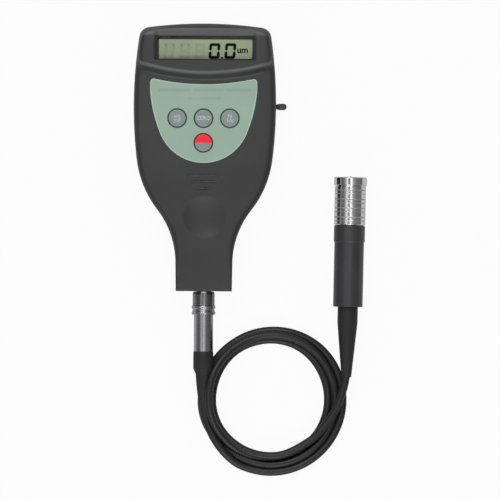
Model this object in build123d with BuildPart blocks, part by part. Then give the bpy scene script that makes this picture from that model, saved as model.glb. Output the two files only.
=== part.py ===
from build123d import *
import os
from math import atan2, cos, pi, radians, sin, sqrt, tan

os.makedirs("parts", exist_ok=True)

# Hand-held surface profile gauge lying on its back, with its probe on a coiled lead.
# Millimetres. X runs to the right across the display, Y towards the display end, Z out of the face.
# The origin is the middle of the flat back of the case.

# Case, seen from above
case_length = 123.0
head_width = 65.4
head_taper = 3.0
top_crown = 2.3
head_corner_radius = 5.0
widest_y = 22.0
shoulder_y = -1.0
shoulder_inset = 1.5
waist_y = -24.0
waist_inset = 11.0
neck_start_y = -49.0
neck_width = 25.8
neck_flare = 0.2
neck_corner_radius = 0.9

# Case, seen from the side
pod_height = 27.0
neck_cover = 2.6
crest_drop = 11.5
crest_radius = 101.0
crest_slope_run = 3.2
crest_round = 3.0
foot_round = 2.5
deck_end_y = -6.0
deck_bend_radius = 60.0
front_rim_radius = 2.8
rear_rim_radius = 2.5
wall = 2.0
parting_z = 9.0
lip_height = 1.2
lip_gap = 0.1
seat_gap = 0.1

# Display
window_width = 43.3
window_height = 10.4
window_drop = 11.0
window_bevel = 2.5
window_bevel_depth = 1.2
lens_margin = 1.5
lens_thickness = 1.0
lcd_side_margin = 1.35
lcd_end_margin = 1.8
lcd_drop = 0.7
lcd_thickness = 2.8
lcd_frame_wall = 0.8
lcd_glass_step = 1.5
strip_width = 2.0
strip_inset = 0.3
strip_end_room = 2.5

# Plate and keys
plate_x = -0.6
plate_half_width = 24.6
plate_length = 40.75
plate_turn_x = 20.2
plate_turn_rise = 13.55
plate_side_rise = 32.25
plate_top_margin = 1.0
plate_corner_radius = 1.6
plate_thickness = 0.5
plate_proud = 0.05
plate_clearance = 0.15
key_diameter = 8.5
key_gap = 0.25
key_pitch = 12.1
key_row_drop = 21.0
power_key_drop = 11.3
key_proud = 0.5
key_travel = 0.8
key_edge_round = 0.4
key_flange_margin = 1.1
key_flange_thickness = 1.0
key_stem_diameter = 3.0
key_stem_length = 0.9
switch_size = 4.5
switch_height = 1.1
plunger_diameter = 2.0
plunger_height = 0.5

# Thumb dimple and grip grooves
dimple_y = -27.4
dimple_diameter = 20.8
dimple_depth = 0.9
grip_lengths = (16.0, 12.0, 8.0)
grip_pitch = 3.0
grip_first_y = -8.2
grip_width = 0.9
grip_depth = 0.45

# Batteries and their cover
cell_count = 4
cell_diameter = 10.5
cell_length = 44.5
cell_spacing = 0.2
cell_nub_diameter = 3.8
cell_nub_height = 0.8
cell_clearance = 0.3
contact_room = 2.2
contact_thickness = 0.3
tray_y = 27.0
tray_wall = 1.3
tray_roof = 1.2
door_thickness = 2.0
door_set_back = 0.1
door_margin = 1.0
door_gap = 0.15
rail_depth = 0.7
rail_thickness = 0.6
rail_z = 0.9
flange_top = 3.4
flange_width = 1.2
door_grip_count = 5
door_grip_pitch = 1.8
door_grip_width = 16.0

# Board and what is on it
board_thickness = 1.6
board_lift = 0.55
board_gap = 1.2
board_low_y = -29.0
board_end_room = 3.9
chip_size = 10.0
chip_height = 1.4
chip_drop = 6.5
buzzer_diameter = 9.0
buzzer_headroom = 1.25
buzzer_x = -17.0
crystal_x = 12.0
small_part_height = 0.8
connector_width = 7.0
connector_length = 4.0
connector_height = 2.2
connector_y = -25.0
wire_diameter = 0.9
wire_pitch = 1.6

# Screws
case_screw_x = 26.4
case_screw_y = 36.0
neck_screw_x = 9.4
neck_screw_y = -38.0
case_screw_diameter = 2.4
case_screw_head = 4.4
case_screw_head_height = 1.6
case_screw_length = 12.0
case_screw_depth = 3.4
screw_gap = 0.1
thread_gap = 0.05
screw_end_room = 0.3
recess_width = 0.7
recess_depth = 0.9
boss_wall = 1.0
front_boss_radius = 2.4
board_screw_diameter = 1.8
board_screw_head = 3.4
board_screw_head_height = 1.0
board_screw_length = 5.0
board_post_radius = 2.1
board_screw_upper = (25.6, 13.0)
board_screw_lower = (13.0, -21.0)

# Data jack and its rubber plug
jack_y = 23.5
jack_width = 6.4
jack_height = 5.0
jack_length = 7.0
jack_bore_diameter = 2.5
cover_hole_diameter = 4.0
cover_clearance = 0.1
cover_stem_clearance = 0.05
cover_stem_length = 5.0
cover_stand = 0.1
tab_neck = 1.2
tab_neck_length = 0.7
tab_length = 4.1
tab_width = 3.2
tab_thickness = 1.8
tab_dimple_diameter = 1.0

# Sensor socket in the neck and its plug
socket_radius = 5.0
socket_rim_radius = 5.9
socket_rim_thickness = 0.8
socket_depth = 8.0
socket_length = 13.0
socket_bore_radius = 3.45
socket_insert_length = 3.0
socket_nut_flats = 11.6
socket_nut_thickness = 2.2
pin_count = 4
pin_circle_radius = 1.7
pin_radius = 0.35
pin_reach = 2.2
pin_clearance = 0.08
plug_fit = 0.05
plug_nose_length = 7.6
plug_bore_radius = 2.6
sleeve_radius = 5.05
sleeve_clearance = 0.08
sleeve_stand = 0.15
sleeve_length = 10.7
sleeve_chamfer = 1.0
sleeve_travel = 1.2
rib_radius = 5.45
rib_width = 1.7
rib_gap = 1.0
barrel_radius = 4.4
barrel_length = 16.9
boot_head_radius = 4.62
boot_head_length = 7.9
boot_shoulder_radius = 3.5
boot_shoulder_length = 2.4
boot_tip = (1.7, -121.2, 5.8)
boot_sections = 4

# Probe, lying on its collar to the right of the gauge
probe_tip_x = 67.27
probe_face_y = -8.5
probe_lean = 0.875
collar_radius = 7.6
collar_length = 3.8
nose_radius = 7.2
nose_length = 22.4
nose_bore_radius = 5.6
groove_width = 0.45
groove_depth = 0.35
groove_pairs = 4
groove_pair_pitch = 4.17
groove_spacing = 1.75
first_groove = 4.2
first_pair = 6.35
upper_body_radius = 7.15
upper_body_length = 7.3
lower_body_radius = 6.8
lower_body_length = 30.1
body_bore_radius = 5.0
probe_boot_radius = 4.65
probe_boot_head = 7.0
probe_boot_length = 32.4
probe_boot_tip = 2.25
guide_radius = 5.5
guide_thickness = 3.0
needle_radius = 1.0
needle_fit = 0.05
needle_length = 8.0
needle_proud = 0.7
needle_travel = 0.7
armature_radius = 2.2
armature_length = 6.0
core_radius = 4.9
core_bore_radius = 2.6
core_length = 22.0
coil_wall = 0.9
coil_window = 9.0
tip_spring_wire = 0.3
tip_spring_turns = 4

# Lead
cord_diameter = 3.5
boot_tip_radius = 2.1
coil_outer_centre = (31.8, -112.0)
coil_outer_radius = 34.5
coil_inner_centre = (30.65, -110.4)
coil_inner_radius = 24.7
coil_upper_width = 3.7
coil_upper_height = 6.9
coil_gap_start = 140.0
coil_gap_end = 212.0
plug_end_route = [(1.5, -119.9, 5.8), (3.6, -126.4, 5.5), (8.2, -133.8, 4.4), (14.9, -139.9, 2.8), (20.5, -142.8, 1.9)]
probe_end_route = [(65.9, -99.6, 7.6), (64.9, -105.6, 7.2), (61.6, -113.2, 6.3), (57.0, -120.1, 5.6),
                   (50.8, -126.8, 5.3), (44.2, -131.9, 5.1)]

# Sizes worked out from the ones above
half_length = case_length / 2
half_head = head_width / 2
half_neck = neck_width / 2
window_y = half_length - window_drop
lcd_y = window_y - lcd_drop
crest_y = window_y - crest_drop
plate_tip_y = crest_y - plate_length
plate_turn_y = plate_tip_y + plate_turn_rise
plate_side_y = plate_tip_y + plate_side_rise
key_row_y = crest_y - key_row_drop
power_key_y = key_row_y - power_key_drop
chip_y = crest_y - chip_drop
board_high_y = half_length - board_end_room
crest_axis_y = crest_y + crest_radius
boss_meet_z = parting_z + lip_height + lip_gap
door_top_z = door_set_back + door_thickness
cells_width = cell_count * cell_diameter + (cell_count - 1) * cell_spacing
tray_half_width = cells_width / 2 + cell_clearance
tray_length = cell_length + 2 * contact_room
tray_low_y = tray_y - tray_length / 2
tray_high_y = tray_y + tray_length / 2
cell_axis_z = door_top_z + cell_clearance + cell_diameter / 2
tray_ceiling_z = cell_axis_z + cell_diameter / 2 + cell_clearance
tray_top_z = tray_ceiling_z + tray_roof
door_half_width = tray_half_width + door_margin
door_low_y = tray_low_y - tray_wall
board_z = tray_top_z + board_lift
board_top_z = board_z + board_thickness
plunger_top_z = board_top_z + switch_height + plunger_height
key_foot_z = plunger_top_z + thread_gap + key_travel
key_flange_z = key_foot_z + key_stem_length
deck_inner_z = key_flange_z + key_flange_thickness + seat_gap
deck_height = deck_inner_z + wall
neck_height = parting_z + socket_rim_radius + neck_cover
buzzer_height = deck_inner_z - board_top_z - buzzer_headroom
lcd_width = window_width + 2 * lcd_side_margin
lcd_length = window_height + 2 * lcd_end_margin
pod_inner_z = pod_height - wall
lens_z = pod_inner_z - seat_gap - lens_thickness
lcd_z = lens_z - seat_gap - lcd_thickness
plate_seat_z = deck_height + plate_proud - plate_thickness
plug_z = parting_z
probe_z = collar_radius
case_screw_places = [(side * x, y) for x, y in
                     ((case_screw_x, case_screw_y), (neck_screw_x, neck_screw_y)) for side in (-1, 1)]
board_screw_places = [(side * x, y) for x, y in (board_screw_upper, board_screw_lower) for side in (-1, 1)]
key_places = {
    "key_left": (plate_x - key_pitch, key_row_y),
    "key_middle": (plate_x, key_row_y),
    "key_right": (plate_x + key_pitch, key_row_y),
    "key_power": (plate_x, power_key_y),
}


def mirrored_plan(inset):
    """Plan of the case: crowned head end, bowed sides, round shoulders and a straight neck."""
    corner = (half_head - head_taper, half_length - top_crown)
    shoulder = (half_head - shoulder_inset, shoulder_y)
    waist = (half_head - waist_inset, waist_y)
    neck = (half_neck + neck_flare, neck_start_y)
    with BuildSketch() as plan:
        with BuildLine():
            TangentArc((0, half_length), corner, tangent=(1, 0))
            side = ThreePointArc(corner, (half_head, widest_y), shoulder)
            hip = TangentArc(shoulder, waist, tangent=side % 1)
            TangentArc(waist, neck, tangent=hip % 1)
            Polyline(neck, (half_neck, -half_length), (0, -half_length), (0, half_length))
        make_face()
        mirror(about=Plane.YZ)
        if inset > 0:
            offset(amount=-inset, kind=Kind.INTERSECTION, mode=Mode.REPLACE)
        ends = plan.vertices().filter_by(lambda v: abs(v.X) > half_neck / 2).sort_by(Axis.Y)
        fillet(ends[-2:], max(head_corner_radius - inset, neck_corner_radius))
        if inset < neck_corner_radius:
            fillet(ends[:2], neck_corner_radius - inset)
    return plan.sketch


def side_section(inset):
    """Section from the head to the neck, drawn as distance from the crest's axis against height."""
    far = 5.0
    slope = (deck_height - neck_height) / (deck_end_y + half_length)
    with BuildSketch() as section:
        with BuildLine():
            front = FilletPolyline(
                (crest_axis_y - half_length - far, pod_height),
                (crest_radius, pod_height),
                (crest_radius + crest_slope_run, deck_height),
                (crest_axis_y - deck_end_y, deck_height),
                (crest_axis_y + half_length + far, neck_height - far * slope),
                radius=[crest_round, foot_round, deck_bend_radius],
            )
            Polyline(front @ 1, ((front @ 1).X, 0), ((front @ 0).X, 0), front @ 0)
        make_face()
        if inset > 0:
            offset(amount=-inset, kind=Kind.INTERSECTION, mode=Mode.REPLACE)
    return section.sketch


def case_form(inset):
    """Solid of the case, drawn in by the inset, with its front and rear rims rounded."""
    plan = mirrored_plan(inset)
    section = side_section(inset)
    sweep_half = 40.0
    turn = radians(sweep_half)
    start = Plane(
        origin=(0, crest_axis_y, 0),
        x_dir=(-sin(turn), -cos(turn), 0),
        z_dir=(-cos(turn), sin(turn), 0),
    )
    with BuildPart() as form:
        with BuildSketch():
            add(plan)
        extrude(amount=pod_height + wall)
        with BuildSketch(start):
            add(section)
        crest_axis = Axis((0, crest_axis_y, 0), (0, 0, 1))
        revolve(axis=crest_axis, revolution_arc=2 * sweep_half, mode=Mode.INTERSECT)
        sides = form.faces().filter_by(lambda f: abs(f.normal_at().Z) < 0.01)
        rim = [e for f in sides for e in f.edges()
               if e.center().Z > parting_z and abs((e % 0.5).Z) < 0.95]
        fillet(ShapeList(rim), max(front_rim_radius - inset, 0.5))
        fillet(form.edges().group_by(Axis.Z)[0], max(rear_rim_radius - inset, 0.5))
    return form.part


plan_outside = mirrored_plan(0)
plan_lip = mirrored_plan(wall / 2)
plan_tongue = mirrored_plan(wall / 2 + lip_gap)
plan_inside = mirrored_plan(wall)
plan_board = mirrored_plan(wall + board_gap)
case_outside = case_form(0)
case_middle = case_form(wall / 2)
case_inside = case_form(wall)
neck_end = Plane(origin=(0, -half_length, plug_z), x_dir=(1, 0, 0), z_dir=(0, -1, 0))


def plate_outline(grow):
    """Shield-shaped plate with a hollow top edge, grown by the given amount."""
    top_radius = crest_radius + crest_slope_run + foot_round * tan(pi / 7) + plate_top_margin
    side_top = crest_axis_y - sqrt(top_radius**2 - plate_half_width**2)
    tip = (0, plate_tip_y)
    turn_point = (plate_turn_x, plate_turn_y)
    with BuildSketch() as outline:
        with BuildLine():
            low = TangentArc(tip, turn_point, tangent=(1, 0))
            TangentArc(turn_point, (plate_half_width, plate_side_y), tangent=low % 1)
            Line((plate_half_width, plate_side_y), (plate_half_width, side_top))
            hollow_mid = plate_half_width / 2
            hollow_y = crest_axis_y - sqrt(top_radius**2 - hollow_mid**2)
            ThreePointArc((plate_half_width, side_top), (hollow_mid, hollow_y), (0, crest_axis_y - top_radius))
            Line((0, crest_axis_y - top_radius), tip)
        make_face()
        mirror(about=Plane.YZ)
        fillet(outline.vertices().sort_by(Axis.Y)[-2:], plate_corner_radius)
        if grow > 0:
            offset(amount=grow, mode=Mode.REPLACE)
    return outline.sketch


# Rear half of the case with the battery tray
with BuildPart() as door_seat:
    with BuildSketch(Plane.XY.offset(rail_z)):
        seat_low = door_low_y - door_gap - flange_width
        with Locations((0, (seat_low + half_length) / 2)):
            Rectangle(2 * (door_half_width + rail_depth + flange_width), half_length - seat_low)
    extrude(amount=flange_top - rail_z)
    add(case_outside, mode=Mode.INTERSECT)

with BuildPart() as rear_shell:
    add(case_outside)
    add(case_inside, mode=Mode.SUBTRACT)
    split(bisect_by=Plane.XY.offset(parting_z), keep=Keep.BOTTOM)
    with BuildSketch(Plane.XY.offset(parting_z)):
        add(plan_tongue)
        add(plan_inside, mode=Mode.SUBTRACT)
    extrude(amount=lip_height)
    add(door_seat.part)
    with BuildSketch(Plane.XY.offset(door_top_z + door_gap)):
        with Locations((0, tray_y)):
            Rectangle(2 * (tray_half_width + tray_wall), tray_length + 2 * tray_wall)
    extrude(amount=tray_top_z - door_top_z - door_gap)
    with BuildSketch(Plane.XY.offset(wall / 2)):
        with Locations(*case_screw_places):
            Circle(case_screw_head / 2 + screw_gap + boss_wall)
    extrude(amount=boss_meet_z - wall / 2)
    # bay for the cells, slot for the cover and its two rails
    with BuildSketch(Plane.XY.offset(-wall)):
        with Locations((0, tray_y)):
            Rectangle(2 * tray_half_width, tray_length)
    extrude(amount=tray_ceiling_z + wall, mode=Mode.SUBTRACT)
    with BuildSketch(Plane.XY.offset(-wall)):
        with Locations((0, door_low_y - door_gap + half_length)):
            Rectangle(2 * (door_half_width + door_gap), 2 * half_length)
    extrude(amount=wall + door_top_z + door_gap, mode=Mode.SUBTRACT)
    with BuildSketch(Plane.XY.offset(rail_z - door_gap)):
        with Locations((0, door_low_y - door_gap + half_length)):
            Rectangle(2 * (door_half_width + rail_depth + door_gap), 2 * half_length)
    extrude(amount=rail_thickness + 2 * door_gap, mode=Mode.SUBTRACT)
    with Locations(*[Location((x, y, 0), (180, 0, 0)) for x, y in case_screw_places]):
        CounterBoreHole(case_screw_diameter / 2 + screw_gap, case_screw_head / 2 + screw_gap,
                        case_screw_depth + case_screw_head_height, boss_meet_z + wall)
    with BuildSketch(neck_end):
        Circle(socket_radius + screw_gap)
    extrude(amount=-2 * wall, mode=Mode.SUBTRACT)
    with BuildSketch(neck_end):
        Circle(socket_rim_radius + screw_gap)
    extrude(amount=-socket_rim_thickness - screw_gap, mode=Mode.SUBTRACT)

# Front half of the case with its bosses
with BuildPart() as front_bosses:
    with BuildSketch(Plane.XY.offset(boss_meet_z)):
        with Locations(*case_screw_places):
            Circle(front_boss_radius)
    extrude(amount=pod_height)
    with BuildSketch(Plane.XY.offset(board_top_z)):
        with Locations(*board_screw_places):
            Circle(board_post_radius)
    extrude(amount=pod_height)
    add(case_middle, mode=Mode.INTERSECT)

bevel_floor = Plane.XY.offset(pod_height - window_bevel_depth)
deck_slope = atan2(deck_height - neck_height, deck_end_y + half_length)
dimple_z = deck_height - (deck_end_y - dimple_y) * tan(deck_slope)
dimple_sphere = ((dimple_diameter / 2) ** 2 + dimple_depth**2) / (2 * dimple_depth)
dimple_lift = dimple_sphere - dimple_depth
jack_z = board_z - jack_height / 2

with BuildPart() as front_shell:
    add(case_outside)
    add(case_inside, mode=Mode.SUBTRACT)
    split(bisect_by=Plane.XY.offset(parting_z), keep=Keep.TOP)
    add(front_bosses.part)
    with BuildSketch(Plane.XY.offset(parting_z)):
        add(plan_lip)
    extrude(amount=lip_height + lip_gap, mode=Mode.SUBTRACT)
    with BuildSketch(bevel_floor):
        with Locations((0, window_y)):
            Rectangle(window_width, window_height)
    with BuildSketch(Plane.XY.offset(pod_height)):
        with Locations((0, window_y)):
            Rectangle(window_width + 2 * window_bevel, window_height + 2 * window_bevel)
    loft(mode=Mode.SUBTRACT)
    with BuildSketch(bevel_floor):
        with Locations((0, window_y)):
            Rectangle(window_width, window_height)
    extrude(amount=-wall - 1, mode=Mode.SUBTRACT)
    with BuildSketch(Plane.XY.offset(plate_seat_z)):
        with Locations((plate_x, 0)):
            add(plate_outline(plate_clearance))
    extrude(amount=wall, mode=Mode.SUBTRACT)
    with Locations(*[(x, y, deck_height) for x, y in key_places.values()]):
        Hole(key_diameter / 2 + key_gap, depth=2 * wall)
    with Locations((0, dimple_y - dimple_lift * sin(deck_slope), dimple_z + dimple_lift * cos(deck_slope))):
        Sphere(dimple_sphere, mode=Mode.SUBTRACT)
    for row, length in enumerate(grip_lengths):
        groove_y = grip_first_y - row * grip_pitch
        groove_z = deck_height - (deck_end_y - groove_y) * tan(deck_slope)
        with BuildSketch(Plane.XY.offset(groove_z - grip_depth)):
            with Locations((0, groove_y)):
                SlotOverall(length, grip_width)
        extrude(amount=wall, mode=Mode.SUBTRACT)
    boss_screw_top = case_screw_depth + case_screw_head_height + case_screw_length + screw_end_room
    with BuildSketch(Plane.XY.offset(boss_meet_z)):
        with Locations(*case_screw_places):
            Circle(case_screw_diameter / 2 + thread_gap)
    extrude(amount=boss_screw_top - boss_meet_z, mode=Mode.SUBTRACT)
    with BuildSketch(Plane.XY.offset(board_top_z)):
        with Locations(*board_screw_places):
            Circle(board_screw_diameter / 2 + thread_gap)
    extrude(amount=board_screw_length - board_thickness + screw_end_room, mode=Mode.SUBTRACT)
    with BuildSketch(Plane.YZ.offset(half_head - 2 * wall)):
        with Locations((jack_y, jack_z)):
            Circle(cover_hole_diameter / 2)
    extrude(amount=3 * wall, mode=Mode.SUBTRACT)
    with BuildSketch(neck_end):
        Circle(socket_radius + screw_gap)
    extrude(amount=-2 * wall, mode=Mode.SUBTRACT)
    with BuildSketch(neck_end):
        Circle(socket_rim_radius + screw_gap)
    extrude(amount=-socket_rim_thickness - screw_gap, mode=Mode.SUBTRACT)


def box_at(centre, size):
    """Draws a rectangle of the given width and length, ready to be extruded."""
    with Locations(centre):
        Rectangle(*size)


with BuildPart() as battery_cover:
    with BuildSketch(Plane.XY.offset(door_set_back)):
        box_at((0, door_low_y + half_length), (2 * door_half_width, 2 * half_length))
    extrude(amount=door_thickness)
    with BuildSketch(Plane.XY.offset(rail_z)):
        box_at((0, tray_y), (2 * (door_half_width + rail_depth), tray_length))
    extrude(amount=rail_thickness)
    add(case_outside, mode=Mode.INTERSECT)
    with BuildSketch(Plane.XY):
        with Locations((0, tray_low_y + tray_wall + door_grip_count * door_grip_pitch / 2 + 2 * wall)):
            with GridLocations(0, door_grip_pitch, 1, door_grip_count):
                SlotOverall(door_grip_width, door_grip_pitch / 2)
    extrude(amount=door_set_back + door_thickness / 3, mode=Mode.SUBTRACT)

with BuildPart() as batteries:
    for cell in range(cell_count):
        way = 1 if cell % 2 == 0 else -1
        cell_x = (cell - (cell_count - 1) / 2) * (cell_diameter + cell_spacing)
        foot = Plane(origin=(cell_x, tray_y - way * cell_length / 2, cell_axis_z), z_dir=(0, way, 0))
        with BuildSketch(foot):
            Circle(cell_diameter / 2)
        extrude(amount=cell_length - cell_nub_height)
        with BuildSketch(foot.offset(cell_length - cell_nub_height)):
            Circle(cell_nub_diameter / 2)
        extrude(amount=cell_nub_height)

with BuildPart() as battery_contacts:
    for cell in range(cell_count):
        way = 1 if cell % 2 == 0 else -1
        cell_x = (cell - (cell_count - 1) / 2) * (cell_diameter + cell_spacing)
        plate_size = 0.7 * cell_diameter
        plus_end = Plane(origin=(cell_x, tray_y + way * tray_length / 2, cell_axis_z), z_dir=(0, -way, 0))
        with BuildSketch(plus_end):
            Rectangle(plate_size, plate_size)
        extrude(amount=contact_thickness)
        with BuildSketch(plus_end):
            Circle(cell_nub_diameter / 2)
        extrude(amount=contact_room - seat_gap)
        minus_side = Plane(origin=(cell_x - plate_size / 4, tray_y - way * tray_length / 2, cell_axis_z),
                           x_dir=(0, way, 0), z_dir=(1, 0, 0))
        with BuildSketch(minus_side):
            with BuildLine():
                leaf = Polyline(
                    (contact_thickness / 2, -plate_size / 2),
                    (contact_thickness / 2, plate_size / 2),
                    (contact_room - seat_gap - contact_thickness, 0),
                    (contact_room / 2, -plate_size / 4),
                )
            trace(leaf, contact_thickness)
        extrude(amount=plate_size / 2)

with BuildPart() as main_board:
    with BuildSketch(Plane.XY.offset(board_z)):
        add(plan_board)
        with Locations((0, (board_low_y + board_high_y) / 2)):
            Rectangle(head_width, board_high_y - board_low_y, mode=Mode.INTERSECT)
        with Locations(*case_screw_places):
            Circle(front_boss_radius + cell_clearance, mode=Mode.SUBTRACT)
        with Locations(*board_screw_places):
            Circle(board_screw_diameter / 2 + screw_gap, mode=Mode.SUBTRACT)
    extrude(amount=board_thickness)

with BuildPart() as processor_chip:
    with BuildSketch(Plane.XY.offset(board_top_z)):
        box_at((0, chip_y), (chip_size, chip_size))
    extrude(amount=chip_height)
    chamfer(processor_chip.faces().sort_by(Axis.Z)[-1].edges(), chip_height / 5)

with BuildPart() as small_components:
    with BuildSketch(Plane.XY.offset(board_top_z)):
        with Locations((crystal_x, chip_y)):
            SlotOverall(chip_size / 2, chip_size / 4, rotation=90)
        with Locations((0, power_key_y - chip_size)):
            with GridLocations(chip_size / 3, chip_size / 2, 5, 2):
                Rectangle(small_part_height, 2 * small_part_height)
    extrude(amount=small_part_height)

with BuildPart() as buzzer:
    with BuildSketch(Plane.XY.offset(board_top_z)):
        with Locations((buzzer_x, chip_y)):
            Circle(buzzer_diameter / 2)
    extrude(amount=buzzer_height)
    with Locations((buzzer_x, chip_y, board_top_z + buzzer_height)):
        Hole(buzzer_diameter / 9, depth=buzzer_height / 2)

with BuildPart() as key_switches:
    with BuildSketch(Plane.XY.offset(board_top_z)):
        with Locations(*key_places.values()):
            Rectangle(switch_size, switch_size)
    extrude(amount=switch_height)
    with BuildSketch(Plane.XY.offset(board_top_z + switch_height)):
        with Locations(*key_places.values()):
            Circle(plunger_diameter / 2)
    extrude(amount=plunger_height)

# Display stack, from the board up to the window
strip_y = lcd_length / 2 - strip_inset - strip_width / 2
strip_length = lcd_width - 2 * strip_end_room
with BuildPart() as contact_strips:
    with BuildSketch(Plane.XY.offset(board_top_z)):
        with Locations((0, lcd_y - strip_y), (0, lcd_y + strip_y)):
            Rectangle(strip_length, strip_width)
    extrude(amount=lcd_z - board_top_z)

with BuildPart() as lcd_frame:
    with BuildSketch(Plane.XY.offset(board_top_z)):
        box_at((0, lcd_y), (lcd_width + 2 * lcd_frame_wall, lcd_length + 2 * lcd_frame_wall))
        with Locations((0, lcd_y)):
            Rectangle(strip_length + 2 * seat_gap, lcd_length - 2 * strip_inset + 2 * seat_gap,
                      mode=Mode.SUBTRACT)
    extrude(amount=lcd_z + lcd_thickness / 2 - board_top_z)
    with BuildSketch(Plane.XY.offset(lcd_z)):
        box_at((0, lcd_y), (lcd_width + 2 * seat_gap, lcd_length + 2 * seat_gap))
    extrude(amount=lcd_thickness, mode=Mode.SUBTRACT)

with BuildPart() as lcd_panel:
    with BuildSketch(Plane.XY.offset(lcd_z)):
        box_at((0, lcd_y), (lcd_width, lcd_length))
    extrude(amount=lcd_thickness / 2)
    with BuildSketch(Plane.XY.offset(lcd_z + lcd_thickness / 2)):
        box_at((0, lcd_y), (lcd_width, lcd_length - lcd_glass_step))
    extrude(amount=lcd_thickness / 2)

with BuildPart() as display_window:
    with BuildSketch(Plane.XY.offset(lens_z)):
        with Locations((0, window_y)):
            RectangleRounded(window_width + 2 * lens_margin, window_height + 2 * lens_margin, lens_margin / 2)
    extrude(amount=lens_thickness)

# Plate and keys
with BuildPart() as faceplate:
    with BuildSketch(Plane.XY.offset(plate_seat_z)):
        with Locations((plate_x, 0)):
            add(plate_outline(0))
        with Locations(*key_places.values()):
            Circle(key_diameter / 2 + key_gap, mode=Mode.SUBTRACT)
    extrude(amount=plate_thickness)

key_top_z = deck_height + plate_proud + key_proud


def make_key(place):
    """Round cap with a flange under the deck and a stem over its switch."""
    with BuildPart() as key:
        with BuildSketch(Plane.XY.offset(key_flange_z)):
            with Locations(place):
                Circle(key_diameter / 2)
        extrude(amount=key_top_z - key_flange_z)
        fillet(key.faces().sort_by(Axis.Z)[-1].edges(), key_edge_round)
        with BuildSketch(Plane.XY.offset(key_flange_z)):
            with Locations(place):
                Circle(key_diameter / 2 + key_flange_margin)
        extrude(amount=key_flange_thickness)
        with BuildSketch(Plane.XY.offset(key_foot_z)):
            with Locations(place):
                Circle(key_stem_diameter / 2)
        extrude(amount=key_flange_z - key_foot_z)
    return key


keys = {name: make_key(place) for name, place in key_places.items()}

# Screws, driven in from the back
with BuildPart() as case_screws:
    with BuildSketch(Plane.XY.offset(case_screw_depth)):
        with Locations(*case_screw_places):
            Circle(case_screw_head / 2)
    extrude(amount=case_screw_head_height)
    with BuildSketch(Plane.XY.offset(case_screw_depth + case_screw_head_height)):
        with Locations(*case_screw_places):
            Circle(case_screw_diameter / 2)
    extrude(amount=case_screw_length)
    with BuildSketch(Plane.XY.offset(case_screw_depth)):
        for place in case_screw_places:
            box_at(place, (case_screw_head * 0.6, recess_width))
            box_at(place, (recess_width, case_screw_head * 0.6))
    extrude(amount=recess_depth, mode=Mode.SUBTRACT)

with BuildPart() as board_screws:
    with BuildSketch(Plane.XY.offset(board_z - board_screw_head_height)):
        with Locations(*board_screw_places):
            Circle(board_screw_head / 2)
    extrude(amount=board_screw_head_height)
    with BuildSketch(Plane.XY.offset(board_z)):
        with Locations(*board_screw_places):
            Circle(board_screw_diameter / 2)
    extrude(amount=board_screw_length)

# Data jack under the edge of the board and its rubber plug
jack_face_x = half_head - wall - cell_clearance
with BuildPart() as data_jack:
    with BuildSketch(Plane.YZ.offset(jack_face_x - jack_length)):
        box_at((jack_y, jack_z), (jack_width, jack_height))
    extrude(amount=jack_length)
    with BuildSketch(Plane.YZ.offset(jack_face_x)):
        with Locations((jack_y, jack_z)):
            Circle(jack_bore_diameter / 2)
    extrude(amount=-cover_stem_length - cell_clearance, mode=Mode.SUBTRACT)

cover_face_x = half_head + cover_stand
tab_x = cover_face_x + tab_neck_length
with BuildPart() as jack_cover:
    with BuildSketch(Plane.YZ.offset(jack_face_x - cover_stem_length)):
        with Locations((jack_y, jack_z)):
            Circle(jack_bore_diameter / 2 - cover_stem_clearance)
    extrude(amount=cover_stem_length + 2 * seat_gap)
    with BuildSketch(Plane.YZ.offset(jack_face_x + seat_gap)):
        with Locations((jack_y, jack_z)):
            Circle(cover_hole_diameter / 2 - cover_clearance)
    extrude(amount=cover_face_x - jack_face_x - seat_gap)
    with BuildSketch(Plane.XY.offset(jack_z - tab_neck / 2)):
        box_at((cover_face_x + tab_neck_length / 2, jack_y), (2 * tab_neck_length, tab_neck))
    extrude(amount=tab_neck)
    with BuildSketch(Plane.XY.offset(jack_z - tab_thickness / 2)):
        with Locations((tab_x + tab_length / 2, jack_y)):
            RectangleRounded(tab_length, tab_width, tab_width * 0.3)
        with Locations((tab_x + tab_length - tab_width / 2, jack_y)):
            Circle(tab_width / 2)
    extrude(amount=tab_thickness)
    with Locations((tab_x + tab_length / 2, jack_y, jack_z + tab_thickness / 2)):
        Hole(tab_dimple_diameter / 2, depth=tab_thickness / 4)

# Socket in the neck and the plug of the lead, turned about one axis
plug_plane = Plane.XY.offset(plug_z)
plug_axis = Axis((0, 0, plug_z), (0, 1, 0))


def turned(points, plane, axis):
    """Ring turned from a closed half section of (radius, length) points."""
    with BuildPart() as ring:
        with BuildSketch(plane):
            with BuildLine():
                Polyline(*points, close=True)
            make_face()
        revolve(axis=axis, revolution_arc=360)
    return ring.part


def pin_places():
    """Places of the contacts on their circle, as seen from the plug's end."""
    return PolarLocations(pin_circle_radius, pin_count, start_angle=180 / pin_count)


socket_face_y = -half_length + thread_gap
socket_floor_y = -half_length + socket_depth
socket_back_y = -half_length + socket_length
insert_back_y = socket_floor_y + socket_insert_length
with BuildPart() as sensor_socket:
    add(turned([
        (socket_bore_radius, socket_face_y),
        (socket_rim_radius, socket_face_y),
        (socket_rim_radius, -half_length + socket_rim_thickness),
        (socket_radius, -half_length + socket_rim_thickness),
        (socket_radius, socket_back_y),
        (socket_bore_radius - screw_gap * 4, socket_back_y),
        (socket_bore_radius - screw_gap * 4, insert_back_y),
        (socket_bore_radius, insert_back_y),
    ], plug_plane, plug_axis))

with BuildPart() as socket_nut:
    with BuildSketch(neck_end.offset(-wall)):
        RegularPolygon(socket_nut_flats / 2, 6, major_radius=False)
        Circle(socket_radius + thread_gap, mode=Mode.SUBTRACT)
    extrude(amount=-socket_nut_thickness)

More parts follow.
